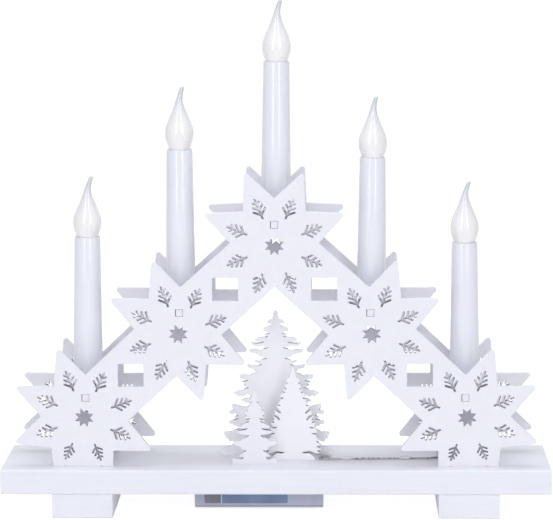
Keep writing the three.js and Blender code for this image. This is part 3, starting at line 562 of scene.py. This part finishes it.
RIGHT_TREE = [
    (0, 70.5), (0.9, 68.8), (1.5, 67.6), (1, 67), (2.1, 65.5), (1.6, 64.9), (2.9, 62.5),
    (2.4, 61.9), (4.5, 61.4), (4, 60.6), (5.8, 59.5), (3.6, 57.6), (4.8, 57.3), (5.5, 56),
    (6.1, 54.8), (4.6, 53.3), (5.8, 53), (7.3, 52.4), (5.4, 50.9), (7, 50.3), (8.6, 48.9),
    (9.8, 47.9), (6.5, 46.5), (8.9, 45.7), (10.4, 44.8), (8.9, 44.2), (10.1, 43.3),
    (11.5, 42.6), (8.9, 40.8), (10.7, 40.8), (12.3, 40.3), (10.7, 37.8), (8.7, 35.4),
    (9.3, 34.9), (11.4, 36.3), (12.9, 37.5), (13.8, 37), (13.4, 34.9), (14.1, 33.9),
    (12.3, 33.7), (10.5, 32.2), (9.5, 30.1), (10.4, 29.8), (12.1, 31.9), (13.9, 33),
    (14.9, 32.7), (13.5, 30), (14.5, 30.3), (15.4, 30.4), (13.6, 27.9), (15.1, 28.1),
    (16.2, 28.3), (16.3, 27.1), (15.5, 25.6), (14.1, 24.7), (11.6, 24.8), (12.9, 23.8),
    (15.2, 24), (16.9, 23.5), (17.3, 22.4), (17.6, 20.3), (13, 20), (17.2, 18.8), (16.7, 17),
    (18.9, 15.5), (19.7, 14.3), (16.7, 13.7), (19.2, 12.6), (19.8, 10.8), (17, 9.9), (20, 9),
    (20.7, 7.5), (17.5, 6.9), (20.3, 5.3), (17.3, 4.7), (14.7, 5.7), (12.1, 6.8), (8.8, 6),
    (6.1, 5.4), (8.8, 4.8), (11.4, 5.3), (13.2, 4.1), (15, 2.3), (16, 0.9), (16.2, 0),
]
LEFT_TREE = [
    (0, 55.8), (1, 53.9), (1.7, 52.4), (1.2, 51.8), (2.3, 50.5), (1.7, 49.6), (2.9, 48.8),
    (3.4, 47.8), (4.1, 45.9), (1.3, 46.9), (2.5, 45.3), (3.5, 43.8), (4.6, 42.3), (5.8, 40.6),
    (4.7, 39.7), (6.3, 39.3), (7.8, 38.8), (6.8, 37.9), (8.6, 36.7), (5.6, 36.6), (7, 35.4),
    (7.3, 34.4), (3.9, 33.7), (3.7, 36.4), (3.5, 33.5), (6.1, 33), (8.3, 31.4), (3.3, 32.1),
    (6, 30.8), (8.2, 29.3), (10.1, 28.4), (11.4, 27.5), (10.9, 26.5), (7.9, 26.5), (4.6, 26.6),
    (6.5, 25.7), (9.4, 25.2), (11.9, 24.8), (12.4, 24), (12.2, 22.8), (10.5, 22.3), (8.3, 22.1),
    (3.9, 21.3), (5.6, 20.3), (6.2, 19.3), (8.6, 19.1), (9.9, 17.7), (11.7, 17.1), (13.9, 17),
    (15.5, 16.7), (15.2, 14.4), (13.2, 13.5), (11, 13.1), (9.8, 11.7), (9.1, 10.2), (5.7, 10),
    (7.8, 9), (9, 7.7), (10.7, 6.5), (11.9, 5.7), (10.3, 5.3), (8, 5), (9.2, 3.8), (10.6, 3.3),
    (13.7, 3.8), (16.4, 4.1), (16.4, 0),
]


def tree_outline(x, tab, wider, side):
    """Both sides of a tree and its tab. The right side may be a little wider."""
    half = []
    for index, (reach, height) in enumerate(side):
        here = Vector((reach, height))
        before = Vector(side[index - 1] if index else (-side[1][0], side[1][1]))
        after = Vector(side[index + 1] if index + 1 < len(side) else (tab / 2, 0))
        hollow = (here - before).cross(after - here) < 0
        half.append((reach, height, TWIG_HOLLOW_ROUND if hollow else TWIG_TIP_ROUND))
    end = tab / 2
    tab_corners = ((end, 0), (end, -TREE_TAB_DEPTH), (-end, -TREE_TAB_DEPTH), (-end, 0))
    line = [(x + wider * u, PLANK_TOP + v, radius) for u, v, radius in half]
    line += [(x + u, PLANK_TOP + v, 0) for u, v in tab_corners]
    line += [(x - u, PLANK_TOP + v, radius) for u, v, radius in reversed(half[1:])]
    return softened(line)


# A whiter copy of the panel paint for the back and right trees: painted light against their
# shade.
brightened_tree_paint = board_paint("brightened_tree_paint", TREE_BRIGHTENED_WHITE, 0.01, TREE_CUT_SHADE)
sprayed(brightened_tree_paint)
small_tree_paint = board_paint("small_tree_paint", PANEL_WHITE, 0.008, TREE_CUT_SHADE)
for node, x, y, tab, wider, side, paint in (
    ("back_tree", -0.5, 10, 24, 1.03, BACK_TREE, brightened_tree_paint),
    ("right_tree", 12.5, -6, 16, 1, RIGHT_TREE, brightened_tree_paint),
    ("left_tree", -15.4, -18.6, 14, 1, LEFT_TREE, small_tree_paint),
):
    outline = tree_outline(x, tab, wider, side)
    front = y - TREE_THICKNESS / 2
    board = sawn(node + "_board", [outline], front, TREE_THICKNESS, TREE_EASE)
    new_piece(board, paint, node)

# Candle tubes
# Tapered tubes of white plastic in the rails' bores. The rim has a ledge inside that carries
# the neck of the bulb.
TUBE_LENGTH = 117.0
TUBE_FOOT_RADIUS = 11.2
TUBE_PROFILE = [
    (10.1, 0.0),
    (10.9, 0.0),
    (TUBE_FOOT_RADIUS, 0.3),
    (10.4, 52.0),
    (9.36, 115.9),
    (9.26, 116.6),
    (8.95, TUBE_LENGTH),
    (8.1, TUBE_LENGTH),
    (7.9, 116.8),
    (7.9, 111.8),
    (6.4, 111.8),
    (6.4, 110.3),
    (8.25, 109.3),
]
SEAT_GAP = 0.02
RAIL_TOP = 10
SEATS = (12.0, 10.9, 11.6, 16.9, 16.6)
SHIFTS = (-0.5, -0.2, 0.6, 1.0, 0.5)
LEANS = (0.7, 0.1, 0.5, 0.4, -0.4)
BULB_RISES = (0.0, 1.5, 0.0, 0.0, 0.3)
HOLDER_RISE = 1.5


class Candle:
    """A candle of the arch, numbered from the left, with its own seat, shift and lean."""

    def __init__(self, index):
        self.number = index + 1
        tenon_x, self.tenon_z = tenon_place(stars[index])
        self.x = tenon_x + SHIFTS[index]
        self.seat = self.tenon_z + RAIL_TOP - SEATS[index]
        self.pivot_z = self.seat + SEATS[index] / 2
        self.lean = math.radians(LEANS[index])
        self.bulb_z = self.seat + TUBE_LENGTH + BULB_RISES[index]
        self.holder_top = self.bulb_z + HOLDER_RISE

    def stood(self, mesh, z):
        """The mesh on this candle's axis, which leans a little in its bore."""
        mesh.transform(
            Matrix.Translation((self.x * MM, ARCH_Y * MM, self.pivot_z * MM))
            @ Matrix.Rotation(self.lean, 4, "Y")
            @ Matrix.Translation((0, 0, (z - self.pivot_z) * MM))
        )
        return mesh


candles = [Candle(index) for index in range(5)]


def turned(name, profile, sides, closed=True):
    """A body of revolution round an upright axis, from pairs of radius and height in mm."""
    form = bmesh.new()
    line = [form.verts.new((radius * MM, 0, height * MM)) for radius, height in profile]
    after = line[1:] + line[:1] if closed else line[1:]
    edges = [form.edges.new(pair) for pair in zip(line, after) if pair[0].co.x or pair[1].co.x]
    bmesh.ops.spin(
        form,
        geom=[*line, *edges],
        cent=(0, 0, 0),
        axis=(0, 0, 1),
        angle=2 * math.pi,
        steps=sides,
        use_merge=True,
    )
    mesh = bpy.data.meshes.new(name)
    form.to_mesh(mesh)
    form.free()
    tidied(mesh, corner=50)
    return mesh


candle_plastic = finish_of(
    "candle_plastic", (0.88, 0.88, 0.925), 0.16, {"Specular IOR Level": 0.8}
)
candle_cloud = grain(candle_plastic, (40, 40, 9), 3)
tinted(candle_plastic, candle_cloud, (0.845, 0.85, 0.9), (0.87, 0.874, 0.92))
rough(candle_plastic, grain(candle_plastic, (260, 260, 60), 3, (4, 1, 0)), 0.09, 0.15)
bumpy(candle_plastic, grain(candle_plastic, (120, 120, 40), 2, (0, 3, 5)), 0.00003)
for candle in candles:
    node = f"candle_tube_{candle.number}"
    tube = turned(node + "_skin", TUBE_PROFILE, sides=72)
    settle = TUBE_FOOT_RADIUS * math.sin(abs(candle.lean)) + SEAT_GAP
    new_piece(candle.stood(tube, candle.seat + settle), candle_plastic, node)

# Flame bulbs
# Hollow flames of milky white silicone that push into the tubes' rims. The tip leans to the
# right. The colour runs from warm white at the base to grey-blue at the tip, and this darkening
# towards the tip is painted shade.
BULB_HEIGHT = 44.2
BULB_NECK = -5
BULB_PROFILE = [
    (7.7, BULB_NECK),
    (7.75, 0.0),
    (8.3, 1.6),
    (8.9, 3.2),
    (9.44, 4.6),
    (9.93, 6.2),
    (10.22, 8.2),
    (10.3, 10.2),
    (10.2, 12.2),
    (9.8, 14.4),
    (9.12, 16.6),
    (8.3, 18.6),
    (7.2, 21.2),
    (5.88, 24.2),
    (4.76, 26.9),
    (3.72, 29.6),
    (2.85, 32.4),
    (2.24, 35.2),
    (1.85, 37.7),
    (1.7, 40.0),
    (1.6, 42.0),
    (1.35, 43.4),
    (0.8, 44.05),
    (0, BULB_HEIGHT),
    (0, 9.0),
    (9.0, 10.2),
    (8.5, 6.2),
    (7.4, 3.2),
    (6.5, 0),
    (6.5, BULB_NECK),
]
LEAN_START = 32
TIP_LEANS = (3.3, 2.7, 2.8, 2.4, 3.6)


def flame(name, tip_lean):
    """A flame whose tip bends over, and whose mesh keeps how high each point stands."""
    mesh = turned(name, BULB_PROFILE, sides=56)
    rise = mesh.attributes.new("rise", "FLOAT", "POINT")
    for vertex in mesh.vertices:
        height = vertex.co.z / MM
        rise.data[vertex.index].value = max(0.0, height / BULB_HEIGHT)
        share = (height - LEAN_START) / (BULB_HEIGHT - LEAN_START)
        if share > 0:
            vertex.co.x += tip_lean * MM * share**1.5
    return mesh


flame_skin = finish_of("flame_silicone", (0.93, 0.92, 0.9), 0.2, {"Specular IOR Level": 0.95})
flame_rise = kept_values(flame_skin, "rise")
# Warm white at the base, grey-blue at the tip: the darkening upwards is painted shade.
flame_tone_and_shade = tinted(flame_skin, flame_rise, (0.95, 0.91, 0.895), (0.58, 0.6, 0.66), (0, 1))
for rise, tone in ((0.25, (0.935, 0.918, 0.89, 1)), (0.7, (0.775, 0.762, 0.787, 1))):
    flame_tone_and_shade.color_ramp.elements.new(rise).color = tone
rough(flame_skin, grain(flame_skin, (300, 300, 300), 3), 0.1, 0.14)
bumpy(flame_skin, grain(flame_skin, (70, 70, 50), 2), 0.000006)
for candle, tip_lean in zip(candles, TIP_LEANS):
    node = f"flame_bulb_{candle.number}"
    bulb = candle.stood(flame(node + "_skin", tip_lean), candle.bulb_z)
    new_piece(bulb, flame_skin, node)

# Light holders and lights
# A moulded plug of white plastic is pressed into each bulb's neck and closes it. A small light
# in a clear lens stands on it, fed by the lead through its bore.
HOLDER_HEIGHT = 9
HOLDER_PROFILE = [
    (1.0, 0),
    (5.8, 0),
    (6.2, 0.4),
    (6.2, 8),
    (5.9, 8.7),
    (5.2, HOLDER_HEIGHT),
    (1.0, HOLDER_HEIGHT),
]
LIGHT_PROFILE = [
    (0, 0),
    (2.9, 0),
    (2.9, 1),
    (2.5, 1),
    (2.5, 3.5),
    (2.3, 4.5),
    (1.75, 5.3),
    (1.0, 5.85),
    (0, 6),
]
lens_plastic = finish_of(
    "clear_lens", (0.95, 0.9, 0.78), 0.08, {"Transmission Weight": 0.6, "IOR": 1.5}
)
rough(lens_plastic, grain(lens_plastic, (900, 900, 900), 2), 0.05, 0.15)
for candle in candles:
    node = f"light_holder_{candle.number}"
    holder = turned(node + "_skin", HOLDER_PROFILE, sides=40)
    candle.stood(holder, candle.holder_top - HOLDER_HEIGHT)
    new_piece(holder, candle_plastic, node)
    node = f"candle_light_{candle.number}"
    lens = turned(node + "_skin", LIGHT_PROFILE, sides=32, closed=False)
    new_piece(candle.stood(lens, candle.holder_top), lens_plastic, node)

# Candle leads
# Thin white sleeved wires, 1.4 mm thick. One comes from the battery case under the plank and
# up behind the right panel foot. The others lie against the back of the front panel, from
# each candle to the next.
WIRE_RADIUS = 0.7
LEAD_Y = -23.0
LEAD_OFF_AXIS = 1.2
LEAD_INSET = 4.2
LEAD_SLACK = 0.2
RAIL_FOOT = 8
FEED_Z = 17.0
# A lead's way round a little star: from its middle across and up.
ROUND_STAR = ((2, -14), (8.6, -9), (12, -1))


def smooth_line(points, slack, steps=8):
    """Points on a smooth curve through all the given ones."""
    line = []
    last = len(points) - 1
    for index in range(last):
        p1, p2 = Vector(points[index]), Vector(points[index + 1])
        p0 = Vector(points[index - 1]) if index else 2 * p1 - p2
        p3 = Vector(points[index + 2]) if index + 1 < last else 2 * p2 - p1
        pull1, pull2 = slack * (p2 - p0), slack * (p3 - p1)
        for step in range(steps):
            t = step / steps
            line.append(
                (2 * t**3 - 3 * t**2 + 1) * p1
                + (t**3 - 2 * t**2 + t) * pull1
                + (3 * t**2 - 2 * t**3) * p2
                + (t**3 - t**2) * pull2
            )
    line.append(Vector(points[last]))
    return line


def wire(name, points, slack):
    curve = bpy.data.curves.new(name, "CURVE")
    curve.dimensions = "3D"
    curve.bevel_depth = WIRE_RADIUS * MM
    curve.bevel_resolution = 3
    curve.use_fill_caps = True
    line = smooth_line(points, slack)
    spline = curve.splines.new("POLY")
    spline.points.add(len(line) - 1)
    for point, place in zip(spline.points, line):
        point.co = (*(place * MM), 1)
    return curve


def lead_down(candle, side):
    """From a candle's light down its tube and out under its rail, to the panel's back."""
    away = candle.x + side * LEAD_OFF_AXIS
    low = candle.tenon_z - RAIL_FOOT
    return [
        (away, ARCH_Y, candle.holder_top - 10),
        (away, ARCH_Y, candle.seat + 20),
        (away, ARCH_Y, low - 0.8),
        (away + side * 0.4, ARCH_Y - 5, low - 2.6),
        (candle.x + side * 8, LEAD_Y, low - 2.8),
    ]


def lead_round(star, side):
    return [(star.x + side * u, LEAD_Y, star.little_z + v) for u, v in ROUND_STAR]


def lead_between(lower, upper):
    """From one candle to the next, along the inside of the panel's sawn edge."""
    side = 1 if upper > lower else -1
    start, end = stars[lower], stars[upper]
    edge_start = Vector(start.point(0 if side > 0 else 180, STAR_NOTCH, start.z))
    edge_end = Vector(end.point(270, STAR_NOTCH, end.z))
    along = (edge_end - edge_start).normalized()
    inward = Vector((-side * along.y, side * along.x)) * LEAD_INSET
    bend = edge_start + inward
    turn = edge_end + inward - 3 * along
    return [
        *lead_down(candles[lower], side),
        (start.x + side * 18, LEAD_Y, start.little_z + 1),
        (bend.x, LEAD_Y, bend.y),
        (turn.x, LEAD_Y, turn.y),
        (end.x - side * 1.5, LEAD_Y, end.little_z - 22),
        *lead_round(end, -side),
        *reversed(lead_down(candles[upper], -side)),
    ]


lead_sleeve = finish_of("lead_sleeve", (0.78, 0.79, 0.83), 0.45)
sleeve_cloud = grain(lead_sleeve, (120, 120, 120), 3)
tinted(lead_sleeve, sleeve_cloud, (0.73, 0.74, 0.79), (0.81, 0.82, 0.86))
rough(lead_sleeve, sleeve_cloud, 0.38, 0.52)
bumpy(lead_sleeve, grain(lead_sleeve, (1500, 1500, 1500), 2), 0.00002)
feed_route = [
    (31.15, 0, FEED_Z),
    (40.65, 0, FEED_Z),
    (132.4, 0, FEED_Z),
    (138.8, 0, 17.5),
    (PANEL_FOOT_X, 0, 21),
    (PANEL_FOOT_X, 0, 34),
    (PANEL_FOOT_X, -5, 40),
    (PANEL_FOOT_X, LEAD_Y, 50),
    *lead_round(stars[4], 1),
    *reversed(lead_down(candles[4], 1)),
]
for node, route in (
    ("candle_lead_1", lead_between(0, 1)),
    ("candle_lead_2", lead_between(1, 2)),
    ("candle_lead_3", lead_between(3, 2)),
    ("candle_lead_4", lead_between(4, 3)),
    ("feed_lead", feed_route),
):
    new_piece(wire(node + "_sleeve", route, LEAD_SLACK), lead_sleeve, node)

# Battery case
# A grey moulded case in a pocket under the plank, held by two screws, with a cover that slides
# off to the right. Its front wall carries a dark and a blue label, both bare.
LABEL_Y = -18.52
LABEL_Z = 9.35
LABEL_HEIGHT = 6.9
LABEL_THICKNESS = 0.12
LABEL_CORNER = 0.6
case_plastic = finish_of("case_plastic", (0.5, 0.52, 0.62), 0.4)
case_cloud = grain(case_plastic, (60, 60, 60), 4)
tinted(case_plastic, case_cloud, (0.5, 0.515, 0.62), (0.565, 0.58, 0.685))
rough(case_plastic, case_cloud, 0.34, 0.48)
bumpy(case_plastic, grain(case_plastic, (2200, 2200, 2200), 2), 0.00003)
dressed("battery_case", case_plastic, ease=0.7, segments=3)
dressed("battery_cover", case_plastic, ease=0.2)


def label_sheet(name, x, width, low, high):
    """A thin printed sheet with round corners, stuck on the case's front wall."""
    outline = rectangle(x, LABEL_Z, width, LABEL_HEIGHT, LABEL_CORNER)
    paper = finish_of(name + "_print", high, 0.35)
    cloud = grain(paper, (90, 90, 90), 4)
    tinted(paper, cloud, low, high)
    rough(paper, cloud, 0.28, 0.42)
    sheet = sawn(name, [outline], LABEL_Y, LABEL_THICKNESS, LABEL_THICKNESS / 4)
    new_piece(sheet, paper)


label_sheet("label_dark", -46.6, 12, (0.19, 0.19, 0.215), (0.235, 0.235, 0.265))
label_sheet("label_edge", -40.2, 0.6, (0.8, 0.8, 0.83), (0.86, 0.86, 0.9))
label_sheet("label_blue", -15.65, 48.3, (0.175, 0.245, 0.405), (0.225, 0.31, 0.475))

# Cells, contacts, screws, board and switch
# Inside the case: three round cells in blue sleeves, sprung contact strips, two countersunk
# screws, and the timer board with a slide switch whose knob comes out at the back.
cell_wrap = finish_of("cell_wrap", (0.1, 0.15, 0.3), 0.3)
cell_cloud = grain(cell_wrap, (80, 80, 80), 3)
tinted(cell_wrap, cell_cloud, (0.08, 0.12, 0.25), (0.12, 0.17, 0.33))
rough(cell_wrap, cell_cloud, 0.22, 0.36)
contact_metal = finish_of("contact_metal", (0.72, 0.71, 0.69), 0.3, {"Metallic": 1})
contact_cloud = grain(contact_metal, (200, 200, 200), 3)
tinted(contact_metal, contact_cloud, (0.66, 0.65, 0.62), (0.76, 0.75, 0.73), (0.35, 0.65))
rough(contact_metal, grain(contact_metal, (600, 600, 2000), 4), 0.2, 0.4)
laminate = finish_of("board_laminate", (0.05, 0.2, 0.11), 0.45)
laminate_weave = grain(laminate, (900, 900, 900), 3)
tinted(laminate, laminate_weave, (0.04, 0.17, 0.09), (0.06, 0.23, 0.13))
rough(laminate, laminate_weave, 0.35, 0.55)
dark_plastic = finish_of("dark_plastic", (0.045, 0.048, 0.055), 0.45)
dark_cloud = grain(dark_plastic, (300, 300, 300), 3)
tinted(dark_plastic, dark_cloud, (0.035, 0.037, 0.043), (0.055, 0.058, 0.066))
rough(dark_plastic, dark_cloud, 0.38, 0.55)
for number in (1, 2, 3):
    dressed(f"battery_cell_{number}", cell_wrap)
for node in (
    "contact_minus",
    "contact_bridge_left",
    "contact_bridge_right",
    "contact_plus",
    "case_screw_1",
    "case_screw_2",
):
    dressed(node, contact_metal)
dressed("timer_board", laminate)
dressed("switch_body", dark_plastic, ease=0.15)
dressed("switch_knob", dark_plastic, ease=0.25, segments=3)

# Light string
# A limp wire 1.4 mm thick that comes up through the plank behind the right tree, turns in a
# flat loop and runs loose along the plank to the right foot, with sealed lights on it.
STRING_Z = 37.0
STRING_SLACK = 0.5
STRING_ROUTE = [
    (24, 2, 32),
    (24, 2, 35),
    (24.3, 2.3, 37.6),
    (26.2, 3.4, 39),
    (29.2, 4.8, 38.7),
    (32.6, 5.6, 37.6),
    (35.8, 5.4, STRING_Z),
    (38.6, 4.2, STRING_Z),
    (39.6, 1.8, STRING_Z),
    (37.8, -0.6, STRING_Z),
    (34.4, -1.8, STRING_Z),
    (31.8, -4, STRING_Z),
    (33, -6.8, STRING_Z),
    (37.6, -8, STRING_Z),
    (44, -7.9, STRING_Z),
    (51, -7.8, STRING_Z),
    (61, -7.7, STRING_Z),
    (71, -7.4, STRING_Z),
    (81, -7, STRING_Z),
    (92, -6.6, STRING_Z),
    (97.6, -6.8, STRING_Z),
    (104, -6.6, STRING_Z),
    (112, -5.8, STRING_Z),
    (122, -1.6, STRING_Z),
    (131, 4, STRING_Z),
]
DROP_Z = 37.45
DROP_PROFILE = [
    (0, -4.9),
    (0.5, -4.5),
    (0.96, -3.6),
    (1.28, -2.2),
    (1.42, -0.6),
    (1.38, 1.2),
    (1.16, 2.7),
    (0.76, 3.9),
    (0.4, 4.6),
    (0, 4.9),
]
# Each drop sits at a point of the route, or so many mm past it.
DROP_PLACES = ((6, 0), (15, 1.1), (19, 3.2), (23, 0), (24, 0))
string_wire = finish_of("string_wire", (0.36, 0.35, 0.35), 0.3)
# Pale and dark flecks along the wire are painted glints, as of light on twisted strands. The same
# noise also varies the wire's roughness.
string_glint_cloud = grain(string_wire, (520, 520, 520), 3)
string_glint_tint = tinted(
    string_wire, string_glint_cloud, (0.17, 0.16, 0.155), (0.6, 0.59, 0.6), (0.38, 0.66)
)
rough(string_wire, string_glint_cloud, 0.28, 0.42)
# Where it lies furthest back, at both its ends, the wire is paler.
string_nodes = string_wire.node_tree.nodes
string_links = string_wire.node_tree.links
string_place = string_nodes.new("ShaderNodeTexCoord")
string_depth = string_nodes.new("ShaderNodeSeparateXYZ")
string_links.new(string_place.outputs["Object"], string_depth.inputs["Vector"])
pale_share = spread(string_wire, string_depth.outputs["Y"], 0, 0.8, (-0.003, 0.002))
mixed_in(string_wire, string_glint_tint, pale_share, (0.8, 0.78, 0.75))
string_curve = wire("light_string_wire", STRING_ROUTE, STRING_SLACK)
string = new_piece(string_curve, string_wire, "light_string")
drop_plastic = finish_of(
    "string_drop", (0.87, 0.87, 0.9), 0.1, {"Transmission Weight": 0.25, "IOR": 1.45}
)
drop_cloud = grain(drop_plastic, (500, 500, 500), 2)
tinted(drop_plastic, drop_cloud, (0.85, 0.85, 0.88), (0.9, 0.9, 0.93), (0.35, 0.65))
rough(drop_plastic, grain(drop_plastic, (900, 900, 900), 2, (3, 3, 3)), 0.06, 0.16)
for number, (place, further) in enumerate(DROP_PLACES, 1):
    before, here = Vector(STRING_ROUTE[place - 1]), Vector(STRING_ROUTE[place])
    heading = (here - before).normalized()
    middle = here + further * heading
    drop = turned(f"string_drop_{number}", DROP_PROFILE, sides=32, closed=False)
    drop.transform(
        Matrix.Translation((middle.x * MM, middle.y * MM, DROP_Z * MM))
        @ heading.to_track_quat("Z", "Y").to_matrix().to_4x4()
    )
    new_piece(drop, drop_plastic)

# Floor, background, lamps and camera
# A pale floor that keeps the shadow, white behind it, a wide lamp over the arch and three before
# it. The two tall ones beside the camera make the two bright lines on each bulb.
FLOOR_REACH = 30
FLOOR_Z = -0.0002
LAMP_TINT = (0.94, 0.955, 1)
CAMERA_PLACE = (0.0445, -1.7395, 0.465)
HEADING = 1.44
LOOKING_DOWN = 9.173
ROLL = -0.31


def seen_or_mirrored(tree):
    """1 for rays from the camera, in a mirror or through glass, else 0."""
    path = tree.nodes.new("ShaderNodeLightPath")
    share = path.outputs["Is Camera Ray"]
    for ray in ("Is Glossy Ray", "Is Transmission Ray"):
        either = tree.nodes.new("ShaderNodeMath")
        either.operation = "MAXIMUM"
        tree.links.new(share, either.inputs[0])
        tree.links.new(path.outputs[ray], either.inputs[1])
        share = either.outputs[0]
    return share


def blended(tree, share, plain, bright, output):
    """The plain shader, with a share of the bright one, as a surface."""
    mix = tree.nodes.new("ShaderNodeMixShader")
    tree.links.new(share, mix.inputs["Fac"])
    tree.links.new(plain.outputs[0], mix.inputs[1])
    tree.links.new(bright.outputs[0], mix.inputs[2])
    tree.links.new(mix.outputs[0], tree.nodes[output].inputs["Surface"])


world = bpy.data.worlds.new("studio")
bpy.context.scene.world = world
world.use_nodes = True
sky = world.node_tree
fill = sky.nodes["Background"]
fill.inputs["Color"].default_value = (0.98, 0.98, 1, 1)
fill.inputs["Strength"].default_value = 0.3
backdrop = sky.nodes.new("ShaderNodeBackground")
backdrop.inputs["Color"].default_value = (1, 1, 1, 1)
backdrop.inputs["Strength"].default_value = 1
blended(sky, seen_or_mirrored(sky), fill, backdrop, "World Output")

floor_paint = bpy.data.materials.new("floor")
floor_paint.use_nodes = True
ground = floor_paint.node_tree
ground.nodes.remove(shader_of(floor_paint))
matt = ground.nodes.new("ShaderNodeBsdfDiffuse")
matt.inputs["Color"].default_value = (0.9, 0.9, 0.92, 1)
glow = ground.nodes.new("ShaderNodeEmission")
glow.inputs["Strength"].default_value = 1.5
glow_share = ground.nodes.new("ShaderNodeMath")
glow_share.operation = "MULTIPLY"
glow_share.inputs[1].default_value = 0.6
ground.links.new(seen_or_mirrored(ground), glow_share.inputs[0])
blended(ground, glow_share.outputs[0], matt, glow, "Material Output")
floor_form = bmesh.new()
bmesh.ops.create_grid(floor_form, x_segments=1, y_segments=1, size=FLOOR_REACH)
bmesh.ops.translate(floor_form, verts=floor_form.verts, vec=(0, 0, FLOOR_Z))
floor_mesh = bpy.data.meshes.new("floor")
floor_form.to_mesh(floor_mesh)
floor_form.free()
floor_mesh.materials.append(floor_paint)
put("floor", floor_mesh)


def soft_lamp(name, place, target, size, power, tint=LAMP_TINT):
    """A rectangular lamp of so many watts that shines from its place at a target."""
    data = bpy.data.lights.new(name, "AREA")
    data.color = tint
    data.shape = "RECTANGLE"
    data.size, data.size_y = size
    data.energy = power
    lamp = put(name, data)
    lamp.location = place
    aim = Vector(target) - Vector(place)
    lamp.rotation_euler = aim.to_track_quat("-Z", "Y").to_euler()
    return lamp


for name, x in (("lamp_left", -0.74), ("lamp_right", 0.8)):
    soft_lamp(name, (x, -1.56, 0.95), (0, 0, 0.25), (0.34, 1.9), power=7)
soft_lamp("lamp_above", (0, 0.04, 1.7), (0, 0, 0.1), (1.6, 0.8), power=15.4, tint=(0.86, 0.91, 1))
front_lamp = soft_lamp("lamp_front", (0, -2.1, 1.0), (0, 0, 0.15), (1.1, 0.7), power=7.7)
front_lamp.visible_glossy = False

camera_data = bpy.data.cameras.new("camera")
camera_data.sensor_width = 36
camera_data.lens = 157.03
camera = put("camera", camera_data)
camera.matrix_world = (
    Matrix.Translation(CAMERA_PLACE)
    @ Matrix.Rotation(math.radians(HEADING), 4, "Z")
    @ Matrix.Rotation(math.pi / 2 - math.radians(LOOKING_DOWN), 4, "X")
    @ Matrix.Rotation(math.radians(ROLL), 4, "Z")
)
bpy.context.scene.camera = camera
bpy.context.scene.view_settings.view_transform = "Standard"
